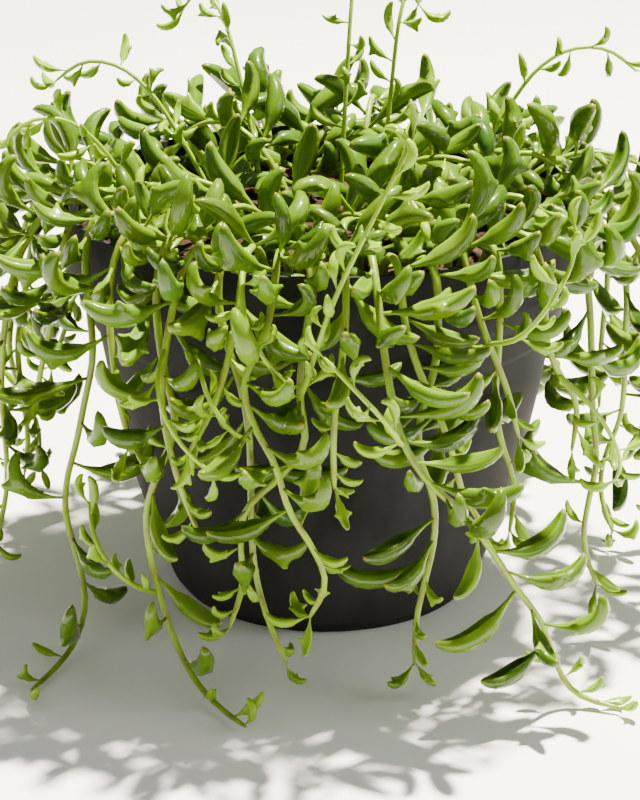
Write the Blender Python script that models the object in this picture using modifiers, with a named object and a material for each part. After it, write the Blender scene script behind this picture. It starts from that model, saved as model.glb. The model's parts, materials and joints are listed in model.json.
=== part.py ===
"""A string of dolphins succulent in its plastic nursery pot.

The pot is a turned, thin moulded shell. The soil fills it and has one plain hole for each plant.
Each leafy stem is one solid: a tube with its leaves fused on. Where the stems and leaves go is a
rule: every stem and leaf is first laid out as round-ended rods, and it is only kept where those
rods are clear of the pot, of the table and of everything placed before.
"""

import math
import random
from dataclasses import dataclass, field
from functools import partial

import bmesh
import bpy
import numpy as np
from mathutils import Matrix, Vector, noise

# Driving dimensions of the pot, in metres
RIM_RADIUS = 0.0750
POT_HEIGHT = 0.1180
WALL = 0.0012
POT_PROFILE = [
    (RIM_RADIUS, POT_HEIGHT),
    (RIM_RADIUS, 0.1010),
    (0.0735, 0.0965),
    (0.0704, 0.0930),
    (0.0683, 0.0845),
    (0.0664, 0.0820),
    (0.0629, 0.0620),
    (0.0578, 0.0380),
    (0.0510, 0.0160),
    (0.0462, 0.0035),
    (0.0435, 0.0),
    (0.0, 0.0),
]
POT_SIDES = 28
DRAIN_COUNT = 5
DRAIN_RADIUS = 0.0045
DRAIN_SIDES = 8
DRAIN_CIRCLE = 0.0300

# The soil, and the holes that the plants stand in
SOIL_EDGE = 0.1055
SOIL_DOME = 0.0045
SOIL_RINGS = (0.057, 0.036, 0.014)
SOIL_BUMP = 0.0018
SOIL_GRAIN = 0.011
HOLE_DEPTH = 0.0065
HOLE_SIDES = 5

# Gaps that touching pieces keep
GAP = 0.0003
CLEAR = 0.00038
OWN_CLEAR = 0.00015

# Stems: radius at the root and at the tip, and the distance between two leaf joints
TRAILER_RADIUS = (0.00115, 0.00070)
CROWN_RADIUS = (0.00105, 0.00070)
SHOOT_RADIUS = (0.00070, 0.00050)
TRAILER_STEP = 0.0132
CROWN_STEP = 0.0098
SHOOT_STEP = 0.0115
TABLE_HEIGHT = 0.0018

# Leaves: length, half width and bend of the grown ones and of the young ones
LEAF_LENGTH = (0.0205, 0.0305)
LEAF_HALF_WIDTH = (0.0023, 0.0032)
YOUNG_LENGTH = (0.0090, 0.0140)
YOUNG_HALF_WIDTH = (0.0011, 0.0016)
STALK_SHARE = 0.28
LEAF_STALK = (0.00042, 0.00072)
YOUNG_STALK = (0.00032, 0.00050)
FIN_HEIGHT = (0.0018, 0.0036)
SPINE_STEPS = 20
PLAIN_RINGS = (0, 5, 10, 16)
FINNED_RINGS = (0, 5, 10, 12, 14)
YOUNG_RINGS = (0, 6, 12)
FIN_RING = 12
FIN_RADIUS = 0.0007
FACE_RISE = 0.5
FACE_SPREAD = 0.75
EARLY_BELLY = 0.85
BLUNT_ENDS = 0.75
STALK_IN_BODY = 0.4
BRANCH_JOINTS = 100
STEM_TRIES = 60
LEAF_TRIES = 14
MOST_RODS = 8192
FLAT_ANGLE = math.radians(2)
KEPT_SHARE = 0.67

# How a leaf stands on its stem: its lean towards the stem's tip and its bend, in degrees, how
# unevenly it bends up, and how the leaves of the crown and over the rim lie sideways and arch down
LEAF_LEAN = (-15, 55)
TIP_LEAN = (45, 75)
LEAF_BEND = (50, 150)
CROWN_BEND = (25, 125)
EARLY_TURN = 0.50
HOLLOW_BACK = 0.25
UNEVEN = 0.55
CROWN_UNEVEN = 0.7
CROWN_ROLL = 0.9
CROWN_CURVE = (-1.3, 0.7)
CROWN_PLUMP = 1.12
OVER_RIM = 2
LEAST_UP = 0.25

# Which edges of a leaf carry fins (-1 the keel, 1 and 2 its left and right edge) and how often,
# and how a fin spreads sideways, rises and leans forwards
FIN_SETS = (((), 0.42), ((-1,), 0.22), ((1, 2), 0.22), ((1,), 0.14))
FLIPPER_SPREAD = 0.94
FLIPPER_RISE = 0.34
FIN_LEAN = (-15, 50)
YOUNG_FIN = 0.5
SHRINK = 0.30

# Where the trailing stems root, how they cross the rim and how they sway as they hang
ROOT_RING = (0.054, 0.062)
FOOT_RISE = 0.003
RIM_WOBBLE = 1.0
RIM_LIFT = (0.004, 0.008)
STEM_REST = 0.001
HANG_TOP = POT_HEIGHT - 0.010
LANDING = 0.006
SWAY = 0.0085
RIPPLE = 0.0050
MARK_SPACING = 0.018
BULGE = (0.75, 0.45, 1.1)
SKIRT = 0.006
WANDER = 0.0030
CURL = (0.004, 0.013)
CURL_LIFT = 0.35
DRIFT_POWER = 1.2
RUN_MARKS = (0.45, 1.0)

# The other stems: reach and rise, and the shares of them (and of the way across) at each mark
CROWN_REACH = (0.022, 0.042)
CROWN_RISE = (0.008, 0.024)
CROWN_LEAN = 0.7
CROWN_TURN = 0.1
CROWN_LIFT = 0.005
CROWN_MIDDLE = 1.15
CROWN_FALL = 0.4
CROWN_MARKS = ((0.25, 0.60), (0.65, 1.0), (1.0, 0.75))
UPRIGHT_LEAN = 0.4
UPRIGHT_TURN = 3
UPRIGHT_NOD = 0.008
UPRIGHT_MARKS = ((0.18, 0.45), (0.48, 0.92), (0.80, 1.0))
SIDE_WAVE = (0.7, 1.3)
SIDE_MARKS = ((1.0, 0.45, 0.35), (0.9, 0.80, 0.75), (0.5, 1.0, 1.0))
SIDE_START = (0.55, 0.12, 0.10)

# Sampling of routes and tests, and the start of each kind's random draws
ROUTE_SPANS = 12
TEST_SPOTS = 4
ROD_MARGIN = 1.03
ROD_MARKS = (0, 3, 6, 9, 12, 15, 18, 20)
TINY = 1e-12
WELD = 0.000002
TRAILER_SEED = 132
UPRIGHT_SEED = 132
CROWN_SEED = 111
SIDE_SEED = 341
LEAF_SEED = 1042
GOLDEN_ANGLE = math.radians(137.5)
UP = Vector((0.0, 0.0, 1.0))

# Trailing stems, by hand after the plant: azimuth where the stem crosses the rim (-90 is the
# front), how far out it hangs, height of its lower end, sideways drift on the way down, and the
# length and heading of its run along the table
TRAILERS = [
    (-146, 0.006, 0.000, 0.002, 0.036, -111),
    (-135, 0.010, 0.066, 0.012, 0.0, 0),
    (-124, 0.008, 0.000, 0.012, 0.034, -57),
    (-118, 0.017, 0.046, 0.014, 0.0, 0),
    (-111, 0.007, 0.010, 0.022, 0.0, 0),
    (-105, 0.014, 0.070, -0.012, 0.0, 0),
    (-99, 0.018, 0.026, 0.016, 0.0, 0),
    (-92, 0.007, 0.018, -0.014, 0.0, 0),
    (-87, 0.015, 0.062, -0.010, 0.0, 0),
    (-81, 0.021, 0.000, 0.048, 0.018, -20),
    (-76, 0.010, 0.044, 0.022, 0.0, 0),
    (-69, 0.006, 0.006, -0.012, 0.0, 0),
    (-62, 0.012, 0.070, 0.012, 0.0, 0),
    (-55, 0.006, 0.040, -0.010, 0.0, 0),
    (-44, 0.011, 0.060, 0.006, 0.0, 0),
    (-30, 0.010, 0.012, -0.003, 0.0, 0),
    (-14, 0.022, 0.030, 0.006, 0.0, 0),
    (6, 0.012, 0.004, 0.010, 0.0, 0),
    (24, 0.016, 0.038, -0.006, 0.0, 0),
    (46, 0.008, 0.000, 0.008, 0.026, 70),
    (66, 0.013, 0.052, 0.006, 0.0, 0),
    (86, 0.008, 0.014, -0.010, 0.0, 0),
    (106, 0.014, 0.036, 0.008, 0.0, 0),
    (128, 0.009, 0.000, -0.006, 0.022, 120),
    (148, 0.013, 0.044, 0.006, 0.0, 0),
    (165, 0.020, 0.020, -0.008, 0.0, 0),
    (180, 0.012, 0.032, 0.006, 0.0, 0),
    (194, 0.018, 0.014, -0.004, 0.0, 0),
    (205, 0.008, 0.058, -0.004, 0.0, 0),
]
CROWN_COUNT = 22
CROWN_SPREAD = 0.051
CROWN_START = 0.6
# Thin upright shoots: azimuth and radius of the root, reach outwards, height above the rim
UPRIGHTS = [
    (62, 0.036, 0.020, 0.052),
    (78, 0.022, 0.034, 0.060),
    (18, 0.040, 0.052, 0.040),
    (118, 0.040, 0.042, 0.046),
    (160, 0.034, 0.050, 0.034),
    (-158, 0.050, 0.044, 0.030),
]
# Young side shoots: number of the stem that bears them, its joint, rise, reach, and way across
SIDE_SHOOTS = [
    (8, 6, 0.075, 0.018, 0.030),
    (5, 7, 0.026, 0.016, -0.012),
    (3, 11, 0.026, 0.014, -0.018),
    (15, 6, -0.034, 0.014, 0.018),
    (17, 6, -0.040, 0.012, 0.006),
    (26, 7, -0.028, 0.016, -0.014),
    (21, 7, 0.024, 0.014, 0.016),
    (13, 5, 0.030, 0.016, 0.022),
    (6, 3, -0.034, 0.018, 0.016),
    (10, 7, 0.028, 0.016, -0.022),
    (4, 5, -0.030, 0.012, 0.018),
    (23, 5, -0.034, 0.016, 0.014),
]


@dataclass
class Leaf:
    """One leaf: it leaves the stem along out and bends towards up."""

    root: Vector
    out: Vector
    up: Vector
    length: float
    half_width: float
    bend: float
    fins: tuple
    young: bool


@dataclass
class Stem:
    """One stem: its joints from root to tip, its radius at both ends, and its leaves."""

    name: str
    points: list
    radii: tuple
    owner: str
    parent: bool
    leaves: list = field(default_factory=list)


def polar(radius, azimuth, height):
    return Vector((radius * math.cos(azimuth), radius * math.sin(azimuth), height))


def soil_height(radius):
    """The highest that the soil reaches at this distance from the middle."""
    return SOIL_EDGE + SOIL_DOME * (1 - (radius / RIM_RADIUS) ** 2)


def smooth_route(marks, step):
    """Joints about one step apart on a smooth curve through the marks."""
    ends = [2 * marks[0] - marks[1]] + list(marks) + [2 * marks[-1] - marks[-2]]
    fine = []
    for i in range(1, len(ends) - 2):
        before, here, there, after = ends[i - 1 : i + 3]
        for k in range(ROUTE_SPANS):
            t = k / ROUTE_SPANS
            fine.append(
                0.5
                * (
                    2 * here
                    + (there - before) * t
                    + (2 * before - 5 * here + 4 * there - after) * t**2
                    + (3 * here - before - 3 * there + after) * t**3
                )
            )
    fine.append(marks[-1].copy())
    along = [0.0]
    for a, b in zip(fine, fine[1:]):
        along.append(along[-1] + (b - a).length)
    count = max(2, round(along[-1] / step))
    joints = []
    k = 0
    for i in range(count + 1):
        at = along[-1] * i / count
        while k < len(fine) - 2 and along[k + 1] < at:
            k += 1
        share = (at - along[k]) / (along[k + 1] - along[k])
        joints.append(fine[k].lerp(fine[k + 1], min(1.0, share)))
    return joints


def inset_profile(profile, distance):
    """The profile moved towards its inner side by the same distance all along."""
    moved = []
    for i, (radius, height) in enumerate(profile):
        normals = []
        for a, b in ((i - 1, i), (i, i + 1)):
            if 0 <= a and b < len(profile):
                run = Vector(profile[b]) - Vector(profile[a])
                normals.append(Vector((run.y, -run.x)).normalized())
        mean = sum(normals, Vector((0.0, 0.0))).normalized()
        reach = distance / mean.dot(normals[0])
        moved.append((max(0.0, radius + mean.x * reach), height + mean.y * reach))
    return moved


def pot_outline():
    """The closed outline of pot and soil in the plane of radius and height."""
    inside = RIM_RADIUS - WALL
    soil = [(radius, soil_height(radius)) for radius in (inside, *SOIL_RINGS, 0.0)]
    return np.array(POT_PROFILE[::-1] + [(inside, POT_HEIGHT)] + soil)


OUTLINE = pot_outline()


def pot_distance(points):
    """How far each point is from the pot and soil, below zero inside them."""
    flat = np.stack([np.hypot(points[:, 0], points[:, 1]), points[:, 2]], axis=1)
    start = OUTLINE
    end = np.roll(OUTLINE, -1, axis=0)
    run = end - start
    offset = flat[:, None, :] - start[None, :, :]
    share = np.clip((offset * run).sum(-1) / np.maximum((run * run).sum(-1), TINY), 0, 1)
    gap = np.linalg.norm(offset - share[..., None] * run, axis=-1).min(axis=1)
    z = flat[:, 1][:, None]
    crosses = (start[:, 1] > z) != (end[:, 1] > z)
    height = np.where(np.abs(run[:, 1]) < TINY, TINY, run[:, 1])
    where = start[:, 0] + (z - start[:, 1]) / height * run[:, 0]
    inside = (crosses & (flat[:, 0][:, None] < where)).sum(axis=1) % 2 == 1
    return np.where(inside, -gap, gap)


class Space:
    """Every rod that has been placed, so that new ones can be tested against them."""

    def __init__(self):
        self.count = 0
        self.start = np.zeros((MOST_RODS, 3))
        self.end = np.zeros((MOST_RODS, 3))
        self.radius = np.zeros(MOST_RODS)
        self.owner = np.zeros(MOST_RODS, "U32")
        self.joint = np.zeros(MOST_RODS, int)

    def add(self, rods, owner, joint):
        for start, end, radius in rods:
            self.start[self.count] = start
            self.end[self.count] = end
            self.radius[self.count] = radius
            self.owner[self.count] = owner
            self.joint[self.count] = joint
            self.count += 1
            joint += 1 if joint >= 0 else 0

    def gaps(self, rod):
        """The gap from this rod to each one placed."""
        start, end, radius = np.array(rod[0]), np.array(rod[1]), rod[2]
        n = self.count
        one = end - start
        two = self.end[:n] - self.start[:n]
        offset = start - self.start[:n]
        a = max(one @ one, TINY)
        e = np.maximum((two * two).sum(1), TINY)
        f = (two * offset).sum(1)
        c = offset @ one
        b = two @ one
        spread = np.maximum(a * e - b * b, TINY * TINY)
        s = (b * f - c * e) / spread
        s = np.clip(s, 0, 1)
        t = (b * s + f) / e
        s = np.where(t < 0, np.clip(-c / a, 0, 1), s)
        s = np.where(t > 1, np.clip((b - c) / a, 0, 1), s)
        t = np.clip(t, 0, 1)
        apart = offset + s[:, None] * one - t[:, None] * two
        return np.linalg.norm(apart, axis=1) - radius - self.radius[:n]

    def blocked(self, rods, owner, joints=()):
        """Whether a rod has no room: the first may touch its own stem, the next two the given joints."""
        for number, rod in enumerate(rods):
            if self.count:
                gaps = self.gaps(rod)
                n = self.count
                other = self.owner[:n] != owner
                if (gaps[other] < CLEAR).any():
                    return True
                own = ~other
                if number < 3:
                    own &= ~np.isin(self.joint[:n], joints)
                if number > 0 and (gaps[own] < OWN_CLEAR).any():
                    return True
            steps = np.linspace(0, 1, TEST_SPOTS)[:, None]
            spots = np.array(rod[0]) * (1 - steps) + np.array(rod[1]) * steps
            if (spots[:, 2] - rod[2] < GAP).any():
                return True
            if (pot_distance(spots) - rod[2] < CLEAR).any():
                return True
        return False


def stem_rods(stem):
    """The rods of a stem, one for each internode."""
    count = len(stem.points) - 1
    rods = []
    for i in range(count):
        radius = stem.radii[0] + (stem.radii[1] - stem.radii[0]) * i / count
        rods.append((stem.points[i], stem.points[i + 1], radius * ROD_MARGIN))
    return rods


def spine(leaf):
    """Places, directions and inward normals along a leaf, from root to tip."""
    place = leaf.root.copy()
    places, directions, normals = [], [], []
    step = leaf.length / SPINE_STEPS
    for k in range(SPINE_STEPS + 1):
        t = k / SPINE_STEPS
        turn = leaf.bend * (EARLY_TURN * t + (1 - EARLY_TURN) * t * t)
        turn -= HOLLOW_BACK * math.sin(math.pi * t)
        direction = leaf.out * math.cos(turn) + leaf.up * math.sin(turn)
        normal = leaf.up * math.cos(turn) - leaf.out * math.sin(turn)
        places.append(place.copy())
        directions.append(direction)
        normals.append(normal)
        place += direction * step
    return places, directions, normals


def leaf_width(leaf, t):
    """Half width of the leaf in the plane that it bends in."""
    root, stalk = YOUNG_STALK if leaf.young else LEAF_STALK
    if t <= STALK_SHARE:
        return root + (stalk - root) * t / STALK_SHARE
    body = (t - STALK_SHARE) / (1 - STALK_SHARE)
    swell = math.sin(math.pi * body**EARLY_BELLY) ** BLUNT_ENDS if body < 1 else 0.0
    return stalk * (1 - body) + (leaf.half_width - STALK_IN_BODY * stalk) * swell


def fin_direction(edge, ahead, inward, across, lean):
    """Where a fin points: -1 is the keel's, 1 the left flipper and 2 the right one."""
    side = FLIPPER_SPREAD if edge == 1 else -FLIPPER_SPREAD
    flat = -inward if edge == -1 else across * side + inward * FLIPPER_RISE
    return flat * math.cos(lean) + ahead * math.sin(lean)


def fin_tip(leaf, places, directions, normals, fin):
    """The point of a fin."""
    edge, height, lean = fin
    across = leaf.out.cross(leaf.up).normalized()
    reach = leaf_width(leaf, FIN_RING / SPINE_STEPS) + height
    ahead, inward = directions[FIN_RING], normals[FIN_RING]
    return places[FIN_RING] + fin_direction(edge, ahead, inward, across, lean) * reach


def leaf_rods(leaf):
    """The rods that hold a leaf and its fins."""
    places, directions, normals = spine(leaf)
    rods = []
    for a, b in zip(ROD_MARKS, ROD_MARKS[1:]):
        widest = max(leaf_width(leaf, k / SPINE_STEPS) for k in range(a, b + 1))
        rods.append((places[a], places[b], widest))
    for fin in leaf.fins:
        tip = fin_tip(leaf, places, directions, normals, fin)
        rods.append((places[FIN_RING], tip, FIN_RADIUS))
    return rods


def trailing_marks(spec, draw):
    """Marks of a stem that climbs over the rim, hangs down and may run along the table."""
    azimuth, out, low, drift, run, heading = spec
    rim = math.radians(azimuth + draw.uniform(-RIM_WOBBLE, RIM_WOBBLE))
    root_radius = draw.uniform(*ROOT_RING)
    ground = soil_height(root_radius)
    lift = draw.uniform(*RIM_LIFT)
    lands = low <= 0
    marks = [
        polar(root_radius, rim, ground - HOLE_DEPTH + GAP),
        polar(root_radius, rim, ground + FOOT_RISE),
        polar(root_radius + 2 * FOOT_RISE, rim, POT_HEIGHT + lift / 2),
        polar(RIM_RADIUS + 2 * STEM_REST, rim, POT_HEIGHT + lift),
    ]
    drop = HANG_TOP - (TABLE_HEIGHT + LANDING if lands else low)
    sway = draw.uniform(-SWAY, SWAY)
    ripple = draw.uniform(-RIPPLE, RIPPLE)
    phase = draw.uniform(0, math.pi)
    across = Vector((-math.sin(rim), math.cos(rim), 0.0))
    least, swell, sooner = BULGE
    count = max(2, round(drop / MARK_SPACING))
    for k in range(count + 1):
        share = k / count
        reach = RIM_RADIUS + out * (least + swell * math.sin(math.pi * min(1.0, share * sooner)))
        if lands:
            reach += SKIRT * share
        reach += WANDER * math.sin(3 * math.pi * share + phase) * share
        wave = sway * math.sin(2 * math.pi * share)
        wave += ripple * (math.sin(5 * math.pi * share + phase) - math.sin(phase))
        side = drift * share**DRIFT_POWER + wave
        lift = 0.0
        if k == count and not lands:
            curl = draw.uniform(*CURL)
            reach += curl
            lift = curl * CURL_LIFT
        marks.append(polar(reach, rim, HANG_TOP - drop * share + lift) + across * side)
    if lands and run > 0:
        ahead = polar(1.0, math.radians(heading), 0.0)
        corner = marks[-1]
        for along in RUN_MARKS:
            spot = corner + ahead * run * along
            marks.append(Vector((spot.x, spot.y, TABLE_HEIGHT)))
    return marks


def crown_marks(index, draw):
    """Marks of a short stem that rises from the soil and leans outwards."""
    radius = CROWN_SPREAD * math.sqrt((index + CROWN_START) / CROWN_COUNT)
    azimuth = index * GOLDEN_ANGLE + draw.uniform(-CROWN_TURN, CROWN_TURN)
    ground = soil_height(radius)
    lean = azimuth + draw.uniform(-CROWN_LEAN, CROWN_LEAN)
    reach = draw.uniform(*CROWN_REACH)
    rise = draw.uniform(*CROWN_RISE) * (CROWN_MIDDLE - CROWN_FALL * radius / CROWN_SPREAD)
    root = polar(radius, azimuth, ground)
    ahead = polar(reach, lean, 0.0)
    marks = [root - UP * (HOLE_DEPTH - GAP), root + UP * FOOT_RISE]
    for out, high in CROWN_MARKS:
        marks.append(root + ahead * out + UP * (CROWN_LIFT + rise * high))
    return marks


def upright_marks(spec, draw):
    """Marks of a long thin shoot that stands up and nods at its tip."""
    azimuth, radius, reach, height = spec
    turn = math.radians(azimuth + draw.uniform(-UPRIGHT_TURN, UPRIGHT_TURN))
    ground = soil_height(radius)
    root = polar(radius, turn, ground)
    ahead = polar(reach, turn + draw.uniform(-UPRIGHT_LEAN, UPRIGHT_LEAN), 0.0)
    rise = POT_HEIGHT + height - ground
    marks = [root - UP * (HOLE_DEPTH - GAP), root + UP * FOOT_RISE]
    for out, high in UPRIGHT_MARKS:
        marks.append(root + ahead * out + UP * rise * high)
    marks.append(root + ahead + UP * (rise - UPRIGHT_NOD))
    return marks


def side_marks(base, spec, draw):
    """Marks of a young shoot that leaves a hanging stem."""
    rise, reach, across = spec
    outwards = Vector((base.x, base.y, 0.0)).normalized()
    side = Vector((-outwards.y, outwards.x, 0.0)) * across
    out, high, aside = SIDE_START
    shares = [(out * draw.uniform(*SIDE_WAVE), high, aside), *SIDE_MARKS]
    marks = [base]
    for out, high, aside in shares:
        marks.append(base + outwards * reach * out + UP * rise * high + side * aside)
    return marks


def place_stem(space, stems, name, marks_of, step, radii, owner, parent=()):
    """Draws the stem again until it is clear of the others, and keeps it."""
    for _ in range(STEM_TRIES):
        marks = marks_of()
        if parent:
            joints = smooth_route(marks, step)
        else:
            joints = marks[:1] + smooth_route(marks[1:], step)
        stem = Stem(name, joints, radii, owner, bool(parent))
        rods = stem_rods(stem)
        if not space.blocked(rods if parent else rods[1:], owner, parent):
            space.add(rods, owner, BRANCH_JOINTS if parent else 0)
            stems.append(stem)
            return
    print(f"{name}: no room, left out")


def lay_out_stems(space):
    """All stems, the trailing ones first, then the side shoots that they bear."""
    stems = []
    crown = range(CROWN_COUNT)
    kinds = [
        ("trailing_stem", TRAILERS, trailing_marks, TRAILER_STEP, TRAILER_RADIUS, TRAILER_SEED),
        ("upright_shoot", UPRIGHTS, upright_marks, SHOOT_STEP, SHOOT_RADIUS, UPRIGHT_SEED),
        ("crown_stem", crown, crown_marks, CROWN_STEP, CROWN_RADIUS, CROWN_SEED),
    ]
    for kind, specs, marks_of, step, radii, seed in kinds:
        for number, spec in enumerate(specs):
            name = f"{kind}_{number + 1:02d}"
            draw = random.Random(seed + number)
            route = partial(marks_of, spec, draw)
            place_stem(space, stems, name, route, step, radii, name)
    for number, (bearer, joint, *reach) in enumerate(SIDE_SHOOTS):
        draw = random.Random(SIDE_SEED + number)
        bearing = next(stem for stem in stems if stem.name == f"trailing_stem_{bearer:02d}")
        route = partial(side_marks, bearing.points[joint], reach, draw)
        name = f"side_shoot_{number + 1:02d}"
        parent = (joint - 1, joint)
        place_stem(space, stems, name, route, SHOOT_STEP, SHOOT_RADIUS, bearing.owner, parent)
    return stems


def draw_leaf(stem, joint, draw, young):
    """A leaf in the middle of this internode, turned and sized by a random draw."""
    here, there = stem.points[joint], stem.points[joint + 1]
    along = (there - here).normalized()
    at_tip = joint == len(stem.points) - 2
    crown = stem.name.startswith("crown")
    lies = crown or (stem.name.startswith("trailing") and joint <= OVER_RIM)
    lengths = YOUNG_LENGTH if young else LEAF_LENGTH
    widths = YOUNG_HALF_WIDTH if young else LEAF_HALF_WIDTH
    plump = CROWN_PLUMP if crown else 1.0
    bends = CROWN_BEND if lies else LEAF_BEND
    if lies:
        side = along.cross(UP).normalized()
        turn = draw.choice((0, math.pi)) + draw.uniform(-CROWN_ROLL, CROWN_ROLL)
    else:
        side = along.orthogonal().normalized()
        turn = joint * GOLDEN_ANGLE + draw.uniform(-math.pi, math.pi)
    radial = Matrix.Rotation(turn, 3, along) @ side
    lean = math.radians(draw.uniform(*(TIP_LEAN if at_tip else LEAF_LEAN)))
    out = (radial * math.cos(lean) + along * math.sin(lean)).normalized()
    uneven = CROWN_UNEVEN if lies else UNEVEN
    rise = draw.uniform(*CROWN_CURVE) if lies else 1.0
    target = UP * rise + Vector([draw.uniform(-uneven, uneven) for _ in range(3)])
    up = target - out * target.dot(out)
    if up.length < LEAST_UP:
        up = radial - out * radial.dot(out)
    size = draw.random()
    sets, shares = zip(*FIN_SETS)
    smaller = YOUNG_FIN if young else 1.0
    fins = []
    for edge in draw.choices(sets, shares)[0]:
        height = draw.uniform(*FIN_HEIGHT) * smaller
        fins.append((edge, height, math.radians(draw.uniform(*FIN_LEAN))))
    return Leaf(
        root=here.lerp(there, 0.5),
        out=out,
        up=up.normalized(),
        length=lengths[0] + (lengths[1] - lengths[0]) * size,
        half_width=(widths[0] + (widths[1] - widths[0]) * size) * plump,
        bend=math.radians(draw.uniform(*bends)),
        fins=tuple(fins),
        young=young,
    )


def grow_leaves(space, stems):
    """One leaf for each internode of each stem, wherever one finds room."""
    for number, stem in enumerate(stems):
        draw = random.Random(LEAF_SEED + number)
        shoot = "shoot" in stem.name
        last = len(stem.points) - 2
        first = 0 if stem.parent else 1
        for joint in range(first, last + 1):
            young = shoot or joint >= last - 1
            grow_leaf(space, stem, joint, draw, young)


def grow_leaf(space, stem, joint, draw, young):
    """Draws this leaf again until it has room, a little smaller each time."""
    base = BRANCH_JOINTS if stem.parent else 0
    near = (base + joint,)
    for attempt in range(LEAF_TRIES):
        leaf = draw_leaf(stem, joint, draw, young)
        leaf.length *= 1.0 - SHRINK * attempt / LEAF_TRIES
        rods = leaf_rods(leaf)
        if not space.blocked(rods, stem.owner, near):
            space.add(rods, stem.owner, -joint - base - 1)
            stem.leaves.append(leaf)
            return


def material(name, colour, roughness):
    made = bpy.data.materials.new(name)
    made.use_nodes = True
    shader = made.node_tree.nodes["Principled BSDF"]
    shader.inputs["Base Color"].default_value = (*colour, 1.0)
    shader.inputs["Roughness"].default_value = roughness
    made.diffuse_color = (*colour, 1.0)
    return made


def add_object(name, mesh, collection, finish=None):
    made = bpy.data.objects.new(name, mesh)
    collection.objects.link(made)
    if finish is not None:
        mesh.materials.append(finish)
    return made


def turned_object(name, profile, collection, finish=None):
    """A profile at +X, turned round Z."""
    mesh = bpy.data.meshes.new(name)
    points = [(radius, 0.0, height) for radius, height in profile]
    mesh.from_pydata(points, [(i, i + 1) for i in range(len(points) - 1)], [])
    made = add_object(name, mesh, collection, finish)
    screw = made.modifiers.new("Turn", "SCREW")
    screw.steps = POT_SIDES
    screw.render_steps = POT_SIDES
    screw.use_merge_vertices = True
    screw.merge_threshold = 0.0001
    screw.use_smooth_shade = True
    return made


def apply_modifiers(made):
    """Replaces the object's mesh by the one that its modifiers give."""
    graph = bpy.context.evaluated_depsgraph_get()
    old = made.data
    made.data = bpy.data.meshes.new_from_object(made.evaluated_get(graph))
    made.modifiers.clear()
    made.data.name = made.name
    if old.users == 0:
        bpy.data.meshes.remove(old)


def hide_cutter(cutter):
    cutter.hide_render = True
    cutter.display_type = "WIRE"


def make_pot(collection, cutters):
    """The moulded shell, with its collar, its band and the drain holes in the floor."""
    finish = material("black_polypropylene", (0.026, 0.027, 0.030), 0.42)
    pot = turned_object("pot", POT_PROFILE, collection, finish)
    shell = pot.modifiers.new("Wall", "SOLIDIFY")
    shell.thickness = WALL
    shell.offset = -1.0
    shell.use_even_offset = True
    for number in range(DRAIN_COUNT):
        azimuth = 2 * math.pi * (number + 0.5) / DRAIN_COUNT
        bpy.ops.mesh.primitive_cylinder_add(
            vertices=DRAIN_SIDES,
            radius=DRAIN_RADIUS,
            depth=WALL * 6,
            location=polar(DRAIN_CIRCLE, azimuth, WALL / 2),
        )
        cutter = bpy.context.object
        cutter.name = f"drain_cutter_{number + 1}"
        bpy.context.collection.objects.unlink(cutter)
        cutters.objects.link(cutter)
        hide_cutter(cutter)
        cut = pot.modifiers.new(f"Drain {number + 1}", "BOOLEAN")
        cut.operation = "DIFFERENCE"
        cut.object = cutter
    apply_modifiers(pot)
    pot.data.set_sharp_from_angle(angle=math.radians(35))
    return pot


def soil_profile():
    """The soil's outer side a gap inside the wall, and its domed top."""
    inner = inset_profile(POT_PROFILE, WALL + GAP)
    edge = inner[1][0]
    side = [(edge, SOIL_EDGE)] + [p for p in inner[1:] if p[1] < SOIL_EDGE]
    top = [(0.0, soil_height(0.0))] + [(r, soil_height(r)) for r in SOIL_RINGS[::-1]]
    return top + side


def make_soil(collection, cutters, stems):
    """A filled body with a lumpy top, and a plain hole where each plant stands."""
    finish = material("coir_and_bark", (0.088, 0.042, 0.022), 0.95)
    soil = turned_object("soil", soil_profile(), collection, finish)
    apply_modifiers(soil)
    for vertex in soil.data.vertices:
        radius = math.hypot(vertex.co.x, vertex.co.y)
        on_top = vertex.co.z > soil_height(radius) - 0.0001
        if on_top:
            lump = 0.5 + 0.5 * noise.noise(vertex.co / SOIL_GRAIN)
            vertex.co.z -= SOIL_BUMP * min(1.0, max(0.0, lump))
    holes = bpy.data.collections.new("soil_cutters")
    cutters.children.link(holes)
    for stem in stems:
        if stem.parent:
            continue
        foot = stem.points[0]
        radius = (stem.radii[0] + GAP) / math.cos(math.pi / HOLE_SIDES)
        mesh = bpy.data.meshes.new("hole")
        shape = bmesh.new()
        bmesh.ops.create_cone(
            shape,
            cap_ends=True,
            segments=HOLE_SIDES,
            radius1=radius,
            radius2=radius,
            depth=HOLE_DEPTH * 2,
        )
        shape.to_mesh(mesh)
        shape.free()
        cutter = add_object(f"hole_{stem.name}", mesh, holes)
        cutter.location = (foot.x, foot.y, foot.z - GAP + HOLE_DEPTH)
        hide_cutter(cutter)
    cut = soil.modifiers.new("Holes", "BOOLEAN")
    cut.operation = "DIFFERENCE"
    cut.operand_type = "COLLECTION"
    cut.collection = holes
    bpy.context.view_layer.update()
    apply_modifiers(soil)
    return soil


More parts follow.
